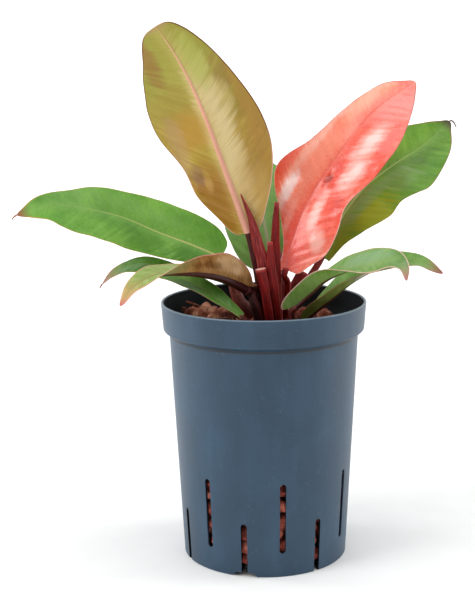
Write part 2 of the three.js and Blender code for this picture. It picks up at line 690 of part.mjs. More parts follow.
const grown = [stemSolid(JOINT_GAP)];
addPiece("stem", stemSolid(), STALK);
for (let index = 0; index < ROOT_COUNT; index++) {
  addPiece(`root_${index + 1}`, clearOf(rootSolid(index), grown), ROOT);
}
const grownRoots = Array.from({ length: ROOT_COUNT }, (_, index) => rootSolid(index, JOINT_GAP));
for (const stalk of STALKS) {
  addPiece(stalk.name ?? `petiole_${stalk.leaf}`, clearOf(stalkSolid(stalk), grown), stalk.skin ?? STALK);
  grown.push(stalkSolid(stalk, JOINT_GAP));
}
for (const leaf of LEAVES) addPiece(`blade_${leaf.name}`, clearOf(bladeSolid(leaf), grown), leaf.skin);
LOOSE_PELLETS.forEach((_, index) => {
  addPiece(`clay_pellet_${index + 1}`, clearOf(pelletSolid(index), grown), CLAY);
  grown.push(pelletSolid(index, JOINT_GAP));
});
for (const { name, path, girth } of LITTER) {
  const inside = wallRadius(SURFACE);
  const curve = smoothCurve(path.map(([x, y, z]) => new THREE.Vector3(x * inside, y * inside, z + SURFACE)));
  const litterSolid = (grow) => bar(curve, girth, 1, STALK_FACE, grow);
  addPiece(name, litterSolid(0), DRY);
  grown.push(litterSolid(JOINT_GAP));
}
addPiece("clay_pellet_fill", clearOf(fillSolid(), [...grown, ...grownRoots]), CLAY);
addPiece("pot", potSolid(), POT_PLASTIC);

export default plant;
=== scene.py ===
"""The looks of a potted philodendron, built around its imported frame.

Blender works in metres and the tables below are in millimetres, both with +Z up and -Y at the front.
Heights in the tables start at the pellets' surface by the pot's wall.
"""
import math

import bmesh
import bpy
import numpy as np
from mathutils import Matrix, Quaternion, Vector, noise


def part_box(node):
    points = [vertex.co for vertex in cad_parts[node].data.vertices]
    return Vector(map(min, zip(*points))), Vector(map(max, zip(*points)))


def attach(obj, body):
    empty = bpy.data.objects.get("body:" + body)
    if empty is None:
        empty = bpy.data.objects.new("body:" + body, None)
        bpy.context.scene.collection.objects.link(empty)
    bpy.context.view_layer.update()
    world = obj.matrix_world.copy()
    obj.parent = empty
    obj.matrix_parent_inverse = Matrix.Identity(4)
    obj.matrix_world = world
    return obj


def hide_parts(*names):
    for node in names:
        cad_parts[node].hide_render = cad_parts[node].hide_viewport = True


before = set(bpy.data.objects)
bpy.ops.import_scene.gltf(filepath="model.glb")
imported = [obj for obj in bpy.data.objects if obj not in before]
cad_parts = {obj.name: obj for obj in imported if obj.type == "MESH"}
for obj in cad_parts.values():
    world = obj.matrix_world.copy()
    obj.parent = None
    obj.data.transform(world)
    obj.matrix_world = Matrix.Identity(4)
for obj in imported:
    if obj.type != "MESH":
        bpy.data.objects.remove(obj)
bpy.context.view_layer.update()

MM = 0.001
SEED = 11
random = np.random.default_rng(SEED)

# ---------- sizes, in millimetres ----------
POT_LOW, POT_HIGH = (np.array(corner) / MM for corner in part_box("pot"))
RIM_RADIUS = (POT_HIGH[0] - POT_LOW[0]) / 2
POT_HEIGHT = POT_HIGH[2]
POT_WALL = 1.6
COLLAR_HEIGHT = 19
COLLAR_FLARE = 1.5
COLLAR_STEP = 4.5
SHOULDER_HEIGHT = 5
BODY_TAPER = 8.5
FLOOR_THICKNESS = 2
FOOT_RECESS = 3.5
FOOT_RING_WIDTH = 2.6
CENTRE_PAD_RADIUS = 12
SLOT_WIDTH = 4.5
SLOT_PAIRS = 7
LOW_SLOT_TOP = 40
TALL_SLOT_BOTTOM = 18
TALL_SLOT_TOP = 70
FIRST_SLOT_ANGLE = math.radians(-14)
NOTCH_COUNT = 3
NOTCH_WIDTH = 19
NOTCH_HEIGHT = 3

FILL_DEPTH = 22
PELLET_DIAMETER = 11
MOUND_HEIGHT = 8
MOUND_RADIUS = 34
MOUND_CENTRE = (-12, 8)
LOOSE_PELLET_SINK = 0.3
CORE_SHARE = 0.86  # the dark core's share of the inner radius
CORE_DROP = 16

STEM_DIAMETER = 29
STEM_LENGTH = 62
STEM_CROWN = np.array([5, -3, 8])
ROOT_COUNT = 6
ROOT_DIAMETER = 4.4

COLLAR_BOTTOM = POT_HEIGHT - COLLAR_HEIGHT
COLLAR_RADIUS = RIM_RADIUS - COLLAR_FLARE
BODY_TOP = COLLAR_BOTTOM - SHOULDER_HEIGHT
BODY_RADIUS = COLLAR_RADIUS - COLLAR_STEP
FOOT_RADIUS = BODY_RADIUS - BODY_TAPER
FLOOR_TOP = FOOT_RECESS + FLOOR_THICKNESS
SURFACE = POT_HEIGHT - FILL_DEPTH

# ---------- stalks ----------
# Points run from the stem outward, girth is the half width along them and flat the share of it that
# the stalk is thick. A petiole goes on to the base of its leaf.
PETIOLE_FLAT = 0.9
PETIOLE_RUN = 4
STALK_SEAT_SHARE = 0.5
STALK_SEAT_DEPTH = 11
STALK_FACE = np.array([0.15, 1, 0.3])
STALK_SIDES = 40
STALK_SPACING = 1.3
STALKS = [
    dict(name="cut_petiole_stub", path=[[5, -20, 6], [3, -22, 20], [1, -23, 34], [-2, -24, 49]],
         girth=[2.8, 3.2, 3.4, 3.8], flat=0.85, look="red"),
    dict(name="sheath_brown", path=[[9, -16, 6], [7.5, -18.5, 22], [5.5, -21, 51], [5, -22, 68]],
         girth=[4.5, 4.4, 3.2, 2], flat=0.55, look="red"),
    dict(name="sheath_spear",
         path=[[3.5, -14, 8], [0, -17, 50], [-3, -19, 63], [-8, -21, 83], [-15.4, -23, 102]],
         girth=[3.2, 4.2, 4.4, 2.6, 0.5], flat=0.5, look="spear"),
    dict(leaf="bronze", path=[[-1, -13, 6], [-5, -16, 21]], girth=[5.6, 5.2], look="black_red"),
    dict(leaf="front_right", path=[[13, -15, 6], [20, -22, 13]], girth=[3, 2.8], look="brown"),
    dict(leaf="low_left", path=[[-4, -16, 4], [-9, -23, 8]], girth=[3, 2.6], look="brown"),
    dict(leaf="low_right", path=[[16, -10, 4], [24, -16, 7]], girth=[3, 2.6], look="brown"),
    dict(name="sheath_red",
         path=[[10, -9, 6], [9.7, -10, 13], [9, -12, 46], [8.7, -13, 68], [9.8, -13.5, 95]],
         girth=[4.2, 4.2, 3.6, 3, 1.6], flat=0.8, look="red"),
    dict(leaf="gold", path=[[1, -8, 6], [-2.4, -10.5, 35]], girth=[3.8, 3.2], look="maroon"),
    dict(leaf="coral", path=[[15, -4, 6], [17.4, -9, 34]], girth=[3.2, 2.8], look="red"),
    dict(name="sheath_red_inner", path=[[12.5, -2, 6], [12, -4, 45], [11, -6, 60]],
         girth=[3.5, 3.2, 1.8], flat=0.6, look="red"),
    dict(leaf="left_green", path=[[-4, 0, 6], [-18.6, 0, 23]], girth=[5, 4.2], look="mottled"),
    dict(name="sheath_right", path=[[13, 0, 6], [18, 1, 22], [24.5, 1, 33], [29.3, 2, 42]],
         girth=[4, 4.8, 5, 4.5], flat=0.5, look="red"),
    dict(leaf="right_green", path=[[17, 5, 6], [30, 9, 30]], girth=[3.6, 3], look="spear"),
    dict(leaf="back_green", path=[[4, 9, 6], [4, 12, 30]], girth=[3.2, 2.8], look="maroon"),
]

# ---------- leaves ----------
# midrib is a smooth curve from the blade's base to its tip and face is the way the upper surface
# looks along it. left and right are half widths as shares of width, seen from above with the tip
# away. fold is how far each half is raised off flat, in degrees. lobe is how far the shoulders
# reach back past the base, rib is the midrib's half width at the base and drip is the length of the
# thread past the tip. A dent has its distance along, its offset, its radius and its height.
LEAVES = [
    dict(
        name="gold", slot="gold_leaf",
        midrib=[[-11, -16, 74], [-27, -22, 121], [-42, -29, 164], [-56, -35, 194], [-71, -40, 218]],
        face=[[0.25, 1, 0.1], [0.2, 1, 0.2]], width=35,
        left=[0.6, 0.6, 0.72, 0.92, 1.02, 0.98, 0.86, 0.79, 0.77, 0.9, 1.3],
        right=[0.7, 0.66, 0.7, 0.87, 0.86, 1.12, 1.18, 1.12, 1.08, 1.3, 2],
        fold=([12, 14, 12], [10, 12, 8]), lobe=2, rib=2.7,
        dents=[(44, 20, 7, 1.8), (38, 25, 5, -1.4), (24, 14, 12, 0.8), (92, -12, 30, -0.9),
               (86, 24, 14, 1.0)],
    ),
    dict(
        name="coral", slot="coral_leaf",
        midrib=[[16, -14, 46], [20, -11, 64], [32, -5, 94], [52, 6, 123], [80, 24, 155], [113, 44, 177]],
        face=[[-0.2, -1, 0.25], [-0.3, -1, 0.4]], width=31,
        left=[0.3, 0.15, 0.06, 0.45, 1, 0.7, 0.57, 0.55, 0.58, 0.4, 0.3],
        right=[1.1, 0.95, 1.2, 1.1, 0.87, 1.04, 1.12, 1.05, 0.82, 0.5, 0.3],
        fold=([12, 6, 4], [12, 14, 10]), lobe=3, rib=2.4,
        dents=[(76, 5, 4, -1.6), (70, 7, 5, 1.2), (50, -17, 12, 3.0), (66, -16, 7, -1.6), (48, 12, 14, 1.6),
               (28, 16, 12, 1.8), (82, 17, 12, 1.8), (108, 12, 20, 1.8), (96, 24, 10, -1.2)],
    ),
    dict(
        name="right_green", slot="green_leaf",
        midrib=[[43, 14, 51], [55, 22, 74], [74, 34, 98], [96, 46, 114], [122, 60, 129], [143, 72, 146]],
        face=[[-0.2, -1, 0.5], [-0.1, -1, 0.6]], width=29,
        left=[0.5, 0.63, 0.73, 0.79, 0.8, 0.8, 0.83, 0.83, 0.68, 0.4, 0.4],
        right=[0.5, 0.35, 0.42, 0.74, 0.98, 0.88, 1.08, 0.95, 0.78, 0.45, 0.4],
        fold=([15, 12, 8], [6, 6, 6]), lobe=3, rib=2.6, drip=8,
        dents=[(40, 15, 12, 1.8), (64, 20, 10, -1.8), (90, 17, 12, 1.8)],
    ),
    dict(
        name="back_green", slot="green_leaf",
        midrib=[[5, 17, 42], [3, 24, 64], [-4, 44, 94], [-16, 72, 122]],
        face=[[0.1, -1, 0.5], [0, -0.8, 0.7]], width=27,
        left=[0.6, 1.15, 1.15, 1, 0.9, 0.8, 0.4], right=[0.6, 1.1, 1.15, 1, 0.9, 0.8, 0.4],
        fold=([15, 12, 8], [12, 12, 8]), lobe=3, rib=2.4, dents=[],
    ),
    dict(
        name="left_green", slot="green_leaf",
        midrib=[[-30, 2, 53], [-52, 0, 63], [-76, -4, 73], [-105, -10, 86], [-145, -19, 95], [-173, -25, 89]],
        face=[[0.25, -0.75, 0.7], [0.1, -0.7, 0.8]], width=26,
        left=[0.9, 0.5, 0.6, 0.82, 0.88, 1.02, 1.02, 1, 0.61, 0.33, 0.2],
        right=[1.8, 1.3, 1.19, 1.06, 0.9, 0.75, 0.69, 0.5, 0.5, 0.36, 0.2],
        fold=([10, 10, 8], [8, 8, 6]), lobe=3, rib=3, drip=4,
        dents=[(40, -12, 10, -0.8), (80, -14, 14, 0.8)],
    ),
    dict(
        name="bronze", slot="bronze_leaf",
        midrib=[[-11, -16, 32], [-22, -22, 39], [-36, -29, 45], [-53, -39, 49], [-74, -52, 50],
                [-89, -63, 43], [-97, -70, 32]],
        face=[[0.3, 0.1, 0.9], [0.2, 0, 1], [0.1, -0.1, 1], [-0.8, -0.5, 0.4]], width=19,
        left=[0.3, 0.32, 0.4, 0.24, 0.58, 0.88, 1, 0.92, 0.77, 0.75, 0.78, 0.8, 0.8, 0.77, 0.72, 0.66, 0.6,
              0.53, 0.45, 0.38, 0.3],
        right=[0.8, 0.75, 0.65, 0.6, 0.6, 0.5, 0.3],
        fold=([80, 75, 25, 0], [20, 15, 10, 0]), lobe=7, rib=4.6,
        dents=[(12, -9, 5, -1.2), (18, -12, 4, 0.8)],
    ),
    dict(
        name="low_left", slot="green_leaf",
        midrib=[[-16, -29, 15], [-27, -28, 23], [-40, -25, 33], [-53, -21, 40], [-69, -17, 47],
                [-84, -15, 52], [-98, -14, 50], [-109, -13, 44], [-116, -12, 37]],
        face=[[0.5, -0.4, 0.75], [0.4, -0.6, 0.8], [-0.2, -0.3, 0.9]], width=12,
        left=[0.5, 0.8, 1, 1.1, 1, 0.6, 0.2], right=[0.4, 0.6, 0.6, 0.5, 0.45, 0.4, 0.2],
        fold=([35, 20, 5], [15, 15, 5]), lobe=2, rib=2, drip=3, dents=[],
    ),
    dict(
        name="front_right", slot="green_leaf",
        midrib=[[22, -26, 21], [33, -31, 32], [45, -38, 44], [65, -48, 54], [85, -58, 60],
                [94, -62, 56], [97, -64, 47]],
        face=[[-0.6, -0.1, 0.7], [-0.4, -0.1, 1], [0.2, -0.5, 0.9], [0.9, -0.4, 0.3]], width=17,
        left=[0.3, 0.4, 0.75, 0.85, 0.8, 0.7, 0.4], right=[0.3, 0.8, 0.75, 0.65, 0.7, 0.5, 0.4],
        fold=([10, 15, 10], [88, 58, 5, 0]), lobe=11, rib=2.2, dents=[],
    ),
    dict(
        name="low_right", slot="green_leaf",
        midrib=[[30, -20, 11], [46, -22, 25], [64, -24, 40], [84, -26, 50], [108, -28, 54], [126, -30, 46]],
        face=[[-0.6, -0.1, 0.7], [-0.2, -0.5, 1], [0.6, -0.4, 0.7]], width=13,
        left=[1, 1, 1, 0.9, 0.8, 0.7, 0.3], right=[1, 1, 1, 0.9, 0.8, 0.7, 0.3],
        fold=([10, 10, 5], [70, 40, 5]), lobe=3, rib=2, dents=[],
    ),
]
BLADE_ROWS = 130
BLADE_COLUMNS = 26  # each side, out from the midrib
BLADE_TIP = 0.5  # half width there
BLADE_THICKNESS = (0.7, 0.34)  # beside the midrib and at the margin
DRIP_ROWS = 10
DRIP_TAPER = 0.4  # the share of its width that the thread loses
DRIP_SAG = 0.14
DRIP_THICKNESS = 1.1
BASE_MARGIN = 2  # how far the blade stands out past the midrib at its base
RIB_STEPS = np.array([0, 0.3, 0.6, 0.85])  # columns across the midrib's half width
PETIOLE_CLEARANCE = 0.5
SHOULDER_SPAN = 0.3  # the share of the outline that a lobe takes up
VEIN_LEAD = 1.25
RIB_DEPTH = 0.9
GROOVE_DEPTH = 0.2
EDGE_PROUD = 0.12
CREASE_RADIUS = 1.6  # how gently a fold starts at the midrib
VEIN_SLANT = 0.5  # how far toward the tip a side vein runs for each step outward
VEIN_CURVE = 0.006  # and how it bends on toward the tip

# x and y are shares of the pot's inner radius at the surface, then the diameter.
LOOSE_PELLETS = [
    (-0.36, 0.21, 11), (-0.79, 0.3, 11), (-0.64, 0.41, 12), (-0.56, 0.18, 10),
    (-0.7, 0.06, 12), (-0.53, -0.18, 12), (-0.42, -0.36, 13), (0.67, 0.25, 11),
    (0.42, -0.5, 12), (0.45, 0.36, 10), (-0.24, 0.45, 12), (-0.21, -0.71, 11),
]
LITTER = [
    dict(name="dry_stick", path=[[-0.86, 0.2, 1], [-0.88, 0.22, 14]], girth=[1.1, 1.3]),
    dict(name="dry_root", path=[[-0.87, 0.46, 15], [-0.77, 0.49, 12], [-0.67, 0.53, 8], [-0.59, 0.56, 3.5]],
         girth=[0.8, 1, 1.1, 0.9]),
]


# ---------- node graphs ----------
def colour(text):
    """A shader colour from an sRGB one written as #rrggbb."""
    parts = [int(text[i:i + 2], 16) / 255 for i in (1, 3, 5)]
    return (*[c / 12.92 if c <= 0.04045 else ((c + 0.055) / 1.055) ** 2.4 for c in parts], 1)


def maths(operation, swapped=False):
    """A method of Value that adds a maths node."""
    def method(self, *others):
        values = (*others, self) if swapped else (self, *others)
        return self.shader.math(operation, *values)
    return method


class Value:
    """What a node gives out. Sums written with values become maths nodes."""

    def __init__(self, shader, socket):
        self.shader = shader
        self.socket = socket

    __add__ = maths("ADD")
    __sub__ = maths("SUBTRACT")
    __rsub__ = maths("SUBTRACT", swapped=True)
    __mul__ = maths("MULTIPLY")
    __truediv__ = maths("DIVIDE")
    __pow__ = maths("POWER")
    __abs__ = maths("ABSOLUTE")


class Shader:
    """A material's node graph, made by short calls. They take Values, numbers or #rrggbb colours."""

    def __init__(self, name, **settings):
        self.material = bpy.data.materials.new(name)
        self.material.use_nodes = True
        self.tree = self.material.node_tree
        self.tree.nodes.clear()
        output = self.tree.nodes.new("ShaderNodeOutputMaterial")
        self.surface = self.tree.nodes.new("ShaderNodeBsdfPrincipled")
        self.tree.links.new(self.surface.outputs[0], output.inputs[0])
        self.set(**settings)

    def put(self, socket, value):
        if isinstance(value, Value):
            self.tree.links.new(value.socket, socket)
        elif isinstance(value, str):
            socket.default_value = colour(value)
        else:
            socket.default_value = value

    def set(self, **values):
        for name, value in values.items():
            self.put(self.surface.inputs[name.replace("_", " ")], value)

    def node(self, kind, inputs, output=0, **settings):
        node = self.tree.nodes.new(f"ShaderNode{kind}")
        for name, value in settings.items():
            setattr(node, name, value)
        for key, value in inputs.items():
            self.put(node.inputs[key], value)
        return Value(self, node.outputs[output])

    def place(self):
        return self.node("TexCoord", {}, "Object")

    def attribute(self, name):
        """The three numbers of a point attribute."""
        return self.split(self.node("Attribute", {}, "Vector", attribute_name=name))

    def split(self, vector):
        parts = self.node("SeparateXYZ", {0: vector})
        return [Value(self, socket) for socket in parts.socket.node.outputs]

    def join(self, *parts):
        return self.node("CombineXYZ", dict(enumerate(parts)))

    def math(self, operation, *values):
        return self.node("Math", dict(enumerate(values)), operation=operation)

    def span(self, value, low, high, first=0.0, last=1.0):
        """A smooth step of value from low to high, as first to last."""
        inputs = dict(enumerate((value, low, high, first, last)))
        return self.node("MapRange", inputs, interpolation_type="SMOOTHSTEP")

    def noise(self, vector, scale, detail=3.0, roughness=0.5, distortion=0.0):
        return self.node("TexNoise", dict(Vector=vector, Scale=scale, Detail=detail, Roughness=roughness,
                                          Distortion=distortion))

    def cells(self, vector, scale):
        return self.node("TexVoronoi", dict(Vector=vector, Scale=scale), "Distance")

    def ramp(self, value, *stops):
        """A colour along stops of (share, colour)."""
        ramp = self.node("ValToRGB", {0: value})
        elements = ramp.socket.node.color_ramp.elements
        while len(elements) < len(stops):
            elements.new(0.5)
        for element, (share, tone) in zip(elements, stops):
            element.position = share
            element.color = colour(tone)
        return ramp

    def mix(self, share, first, second):
        return self.node("Mix", {0: share, 6: first, 7: second}, 2, data_type="RGBA")

    def bump(self, height, distance, strength=1.0):
        inputs = dict(Height=height, Distance=distance, Strength=strength)
        normal = self.surface.inputs["Normal"]
        if normal.is_linked:
            inputs["Normal"] = Value(self, normal.links[0].from_socket)
        self.set(Normal=self.node("Bump", inputs))


# ---------- materials ----------
def leaf_material(name, leaf, look):
    """A leaf's skin. leaf_place holds the distance along the midrib, the offset from it and the
    distance in from the margin, in millimetres. leaf_vein holds where the point's side vein leaves
    the midrib, how far out along the vein it is, and 1 on the upper face or 0 on the lower."""
    look = {**PLAIN_LEAF, **look}
    shader = Shader(name, Specular_IOR_Level=look["specular"])
    along, offset, margin = shader.attribute("leaf_place")
    root, out, upper = shader.attribute("leaf_vein")
    share = along / leaf["length"]
    side = shader.math("SIGN", offset)
    out_mm = abs(offset)

    streaks = shader.noise(shader.join(root * 0.22, out * 0.5, side * 5.0), 1.0, 5.0, 0.62)
    fine = shader.noise(shader.join(root * 1.6, out * 0.8, side), 1.0, 3.0, 0.6)
    patches = shader.noise(shader.place(), 26.0, 3.0, 0.55, 0.4)
    mottle = shader.noise(shader.place(), 420.0, 3.0, 0.6)
    grain = shader.noise(shader.place(), 1700.0, 3.0, 0.7)
    mixed = streaks * look["streaks"] + patches * (1 - look["streaks"])
    mixed = mixed + (fine - 0.5) * 0.25 + (mottle - 0.5) * 0.2 + (grain - 0.5) * 0.22

    def face(tones, bands):
        skin = shader.ramp(mixed, *zip((0.34, 0.5, 0.66), tones))
        for start, end, tone, depth in bands:
            skin = shader.mix(shader.span(share, start, end, 0.0, depth), skin, tone)
        return skin

    under = face(look["lower"], look["lower_bands"])
    skin = shader.mix(upper, under, face(look["upper"], look["upper_bands"]))
    # broad patches of tone, some of them painted highlights, painted light or painted shade, ragged along the
    # veins: each has its share along the midrib and its offset, its spread each way, its tone and its depth
    ragged = (streaks * 0.7 + fine * 0.3 - 0.5) * look["ragged"]
    for where, aside, spread, breadth, tone, depth in look["zones"]:
        away = ((share - where) / spread) ** 2 + ((offset - aside) / breadth) ** 2 + ragged
        skin = shader.mix(shader.span(away, 0.0, 1.1, depth, 0.0), skin, tone)

    # paler beside the midrib, where the blade is thicker
    skin = shader.mix(shader.span(out_mm, 0.6, 9.0, look["glow"], 0.0), skin, look["pale"])
    # side veins, at even steps along the midrib
    vein_wave = shader.math("PINGPONG", root / look["vein_step"], 0.5)
    veins = shader.span(vein_wave, 0.0, 0.14, 1.0, 0.0) * shader.span(fine, 0.3, 0.6)
    skin = shader.mix(veins * look["veins"], skin, look["vein"])
    # the midrib
    rib_half = (1.0 - share) * leaf["rib"] + 0.15
    narrow = rib_half * shader.span(upper, 0.0, 1.0, 1.0, look["rib_narrow"])
    on_rib = shader.span(out_mm - narrow, -0.35, 0.15, 1.0, 0.0)
    rib_tone = shader.mix(upper, look["rib_lower"], look["rib_upper"])
    rib_tone = shader.mix(shader.span(share, 0.0, 1.0, 0.0, look["rib_fade"]), rib_tone, skin)
    rib_streaks = shader.noise(shader.join(offset * 2.2, along * 0.06, 0.0), 1.0, 3.0, 0.6)
    rib_tone = shader.mix(shader.span(rib_streaks, 0.3, 0.75, 0.0, 0.35), rib_tone, look["rib_shade"])
    skin = shader.mix(on_rib * look["rib_strength"], skin, rib_tone)
    # the thin coloured edge, which widens to the tip
    edge_width = shader.span(share, 0.8, 1.0, look["edge_width"], 1.6)
    on_edge = shader.span(margin / edge_width, 0.2, 1.0, 1.0, 0.0)
    edge = shader.mix(shader.span(share, 0.25, 0.5), look.get("edge_base", look["edge"]), look["edge"])
    skin = shader.mix(on_edge * look["edge_strength"], skin, edge)
    skin = shader.mix(shader.span(share, look["tip_start"], 1.0) * look["tip_strength"], skin, look["tip"])
    # small brown specks
    specks = shader.span(shader.cells(shader.place(), 260.0), 0.0, 0.16, look["specks"], 0.0)
    skin = shader.mix(specks * shader.span(patches, 0.52, 0.6), skin, look["speck"])

    shader.set(Base_Color=skin, Roughness=(mottle - 0.5) * 0.2 + look["roughness"])
    shader.set(Coat_Weight=look["coat"], Coat_Roughness=look["coat_roughness"])
    shader.bump(vein_wave * 0.5 + fine * 0.6, 0.25 * MM, 0.6)
    shader.bump(mottle, 0.08 * MM, 0.5)
    shader.bump(grain, 0.05 * MM, 0.5)
    return shader.material


def stalk_material(name, dark, middle, light, edge, roughness, coat):
    """Skin of a petiole or sheath. stalk_place holds the distance along it in millimetres, the turn
    round it from 0 to 1, and how near its far end the point is, from 0 to 1."""
    shader = Shader(name, Specular_IOR_Level=0.25, Coat_Weight=coat, Coat_Roughness=0.22)
    along, turn, share = shader.attribute("stalk_place")
    # turn runs round, so the streaks are read on a ring to have no seam
    angle = turn * (2 * math.pi)
    ring_x = shader.math("COSINE", angle)
    ring_y = shader.math("SINE", angle)
    streaks = shader.noise(shader.join(ring_x, ring_y, along * 0.018), 4.2, 4.0, 0.6)
    fine = shader.noise(shader.join(ring_x, ring_y, along * 0.05), 17.0, 3.0, 0.6)
    spots = shader.noise(shader.place(), 620.0, 4.0, 0.65)
    skin = shader.ramp(streaks * 0.7 + fine * 0.3, (0.36, dark), (0.5, middle), (0.66, light))
    skin = shader.mix(shader.span(spots, 0.6, 0.75, 0.0, 0.35), skin, light)
    # painted shade: darker toward the crown, where the stalks crowd together
    skin = shader.mix(shader.span(along, 6.0, 46.0, 0.85, 0.0), skin, dark)
    # painted highlight along the stalk's two sides
    skin = shader.mix(shader.span(abs(ring_x), 0.86, 0.99, 0.0, 0.55), skin, edge)
    skin = shader.mix(shader.span(share, 0.95, 1.0, 0.0, 0.6), skin, edge)
    shader.set(Base_Color=skin, Roughness=(spots - 0.5) * 0.25 + roughness)
    shader.bump(fine, 0.4 * MM, 0.7)
    shader.bump(spots, 0.1 * MM, 0.5)
    return shader.material


def cut_face_material():
    """The pale, wet cut end of a stalk, with its darker strands."""
    shader = Shader("cut_face", Specular_IOR_Level=0.6, Coat_Weight=0.3, Coat_Roughness=0.2, Roughness=0.35)
    place = shader.place()
    flesh = shader.noise(place, 900.0, 4.0, 0.6)
    flesh = shader.ramp(flesh, (0.35, "#d98a80"), (0.5, "#f2b7a6"), (0.68, "#fbe3d2"))
    strands = shader.span(shader.cells(place, 1500.0), 0.0, 0.3, 0.6, 0.0)
    shader.set(Base_Color=shader.mix(strands, flesh, "#b4483f"))
    shader.bump(shader.noise(place, 1600.0, 3.0), 0.3 * MM, 0.8)
    return shader.material


def dust_over(shader, skin, low, tone):
    """Specks of dust, laid over a skin where a fine noise rises past low."""
    specks = shader.noise(shader.place(), 700.0, 3.0, 0.6)
    return shader.mix(shader.span(specks, low, 0.76, 0.0, 0.3), skin, tone)


def pot_material():
    """Blue-grey moulded plastic: a soft gloss, faint flow marks, dust and small scuffs, with a painted
    highlight on the lip and painted shade under the collar and inside the wall.
    """
    shader = Shader("pot_plastic", Specular_IOR_Level=0.5, Coat_Weight=0.08, Coat_Roughness=0.35)
    place = shader.place()
    x, y, z = shader.split(place)
    cloudy = shader.noise(place, 22.0, 4.0, 0.6, 0.6)
    flow = shader.noise(shader.join(x * 60.0, y * 60.0, z * 7.0), 1.0, 4.0, 0.6)
    grain = shader.noise(place, 1500.0, 3.0, 0.65)
    mixed = cloudy * 0.55 + flow * 0.35 + grain * 0.1
    skin = shader.ramp(mixed, (0.36, "#16344a"), (0.5, "#1c3c53"), (0.64, "#26475f"))
    scuffs = shader.span(shader.noise(place, 170.0, 5.0, 0.7, 1.5), 0.6, 0.72, 0.0, 0.4)
    skin = dust_over(shader, shader.mix(scuffs, skin, "#4c687b"), 0.68, "#7c8c98")
    # painted highlight: a pale line along the lip
    lip = shader.span(z, (POT_HEIGHT - 1.2) * MM, (POT_HEIGHT - 0.2) * MM, 0.0, 0.6)
    skin = shader.mix(lip, skin, "#7f92a0")
    # painted shade: darker in the corner under the collar
    corner = abs(z - (BODY_TOP + 0.6) * MM)
    skin = shader.mix(shader.span(corner, 0.4 * MM, 1.8 * MM, 0.85, 0.0), skin, "#060d14")
    # painted shade: the inner half of the wall is painted near black, which shows at the slots' sides
    radius = shader.math("SQRT", x * x + y * y)
    outer = z * ((BODY_RADIUS - FOOT_RADIUS) / BODY_TOP) + FOOT_RADIUS * MM
    step = shader.span(z, (BODY_TOP - 1) * MM, (COLLAR_BOTTOM + 1) * MM, 0.0, COLLAR_STEP * MM)
    inside = shader.span(outer + step - radius, 0.7 * MM, 1.1 * MM)
    below_lip = shader.span(z, (POT_HEIGHT - 1.0) * MM, (POT_HEIGHT - 0.3) * MM, 1.0, 0.0)
    skin = shader.mix(inside * below_lip, skin, "#020305")
    shader.set(Base_Color=skin, Roughness=cloudy * 0.2 + 0.36)
    shader.bump(flow, 0.4 * MM, 0.35)
    shader.bump(grain, 0.06 * MM, 0.6)
    return shader.material


def inner_shade_and_dust_material():
    """The pot's inner face: painted near black for the shade inside the pot, and matt, with a film of dust.
    """
    shader = Shader("pot_inner_shade_and_dust", Specular_IOR_Level=0.12, Roughness=0.7)
    cloudy = shader.noise(shader.place(), 30.0, 4.0, 0.6)
    skin = shader.ramp(cloudy, (0.35, "#04070a"), (0.5, "#090e13"), (0.66, "#11181f"))
    shader.set(Base_Color=dust_over(shader, skin, 0.66, "#3a4650"))
    shader.bump(cloudy, 0.3 * MM, 0.4)
    return shader.material


def clay_material(name, tones, roughness, specular):
    """Porous baked clay. pellet_tone holds each pellet's own shade."""
    shader = Shader(name, Specular_IOR_Level=specular, Roughness=roughness)
    place = shader.place()
    tone = shader.attribute("pellet_tone")[0]
    broad = shader.noise(place, 150.0, 4.0, 0.6)
    grit = shader.noise(place, 900.0, 5.0, 0.7)
    pores = shader.cells(place, 900.0)
    mixed = broad * 0.5 + grit * 0.3 + tone * 0.2
    skin = shader.ramp(mixed, *zip((0.36, 0.46, 0.54, 0.64), tones))
    skin = shader.mix(shader.span(tone, 0.92, 0.94, 0.0, 0.7), skin, "#3c2a26")
    skin = shader.mix(shader.span(pores, 0.0, 0.22, 0.7, 0.0), skin, "#3c1610")
    pale = shader.span(shader.noise(place, 520.0, 3.0, 0.6), 0.62, 0.72, 0.0, 0.45)
    shader.set(Base_Color=shader.mix(pale, skin, "#f0c8ac"))
    shader.bump(grit, 2.2 * MM, 1.0)
    shader.bump(pores, 1.0 * MM, 0.8)
    return shader.material


def bark_material(name, scale, crumble, stops, depth):
    """Rough brown skin of a root or of dry litter."""
    shader = Shader(name, Specular_IOR_Level=0.3, Roughness=0.85)
    bark = shader.noise(shader.place(), scale, 5.0, crumble)
    shader.set(Base_Color=shader.ramp(bark, *stops))
    shader.bump(bark, depth * MM, 0.8)
    return shader.material


def floor_material():
    shader = Shader("floor_paper", Specular_IOR_Level=0.2, Roughness=0.85)
    grain = shader.noise(shader.place(), 30.0, 3.0)
    shader.set(Base_Color=shader.ramp(grain, (0.3, "#f1f1f0"), (0.7, "#f4f4f3")))
    return shader.material


# ---------- curves ----------
def smooth(values, share):
    """A smooth value between the listed ones, which stand at equal steps of share from 0 to 1."""
    values = np.asarray(values, float)
    padded = np.concatenate([[2 * values[0] - values[1]], values, [2 * values[-1] - values[-2]]])
    place = np.clip(np.asarray(share, float), 0, 1) * (len(values) - 1)
    i = np.minimum(place.astype(int), len(values) - 2)
    t = place - i
    if values.ndim > 1:
        t = t[..., None]
    a, b, c, d = (padded[i + k] for k in range(4))
    bend = (2 * a - 5 * b + 4 * c - d) * t ** 2 + (3 * b - a - 3 * c + d) * t ** 3
    return 0.5 * (2 * b + (c - a) * t + bend)


def unit(vectors):
    return vectors / np.linalg.norm(vectors, axis=-1, keepdims=True)


def square_to(direction, axis):
    """The part of direction that is square to axis, at length 1."""
    return unit(direction - axis * np.sum(direction * axis, axis=-1, keepdims=True))


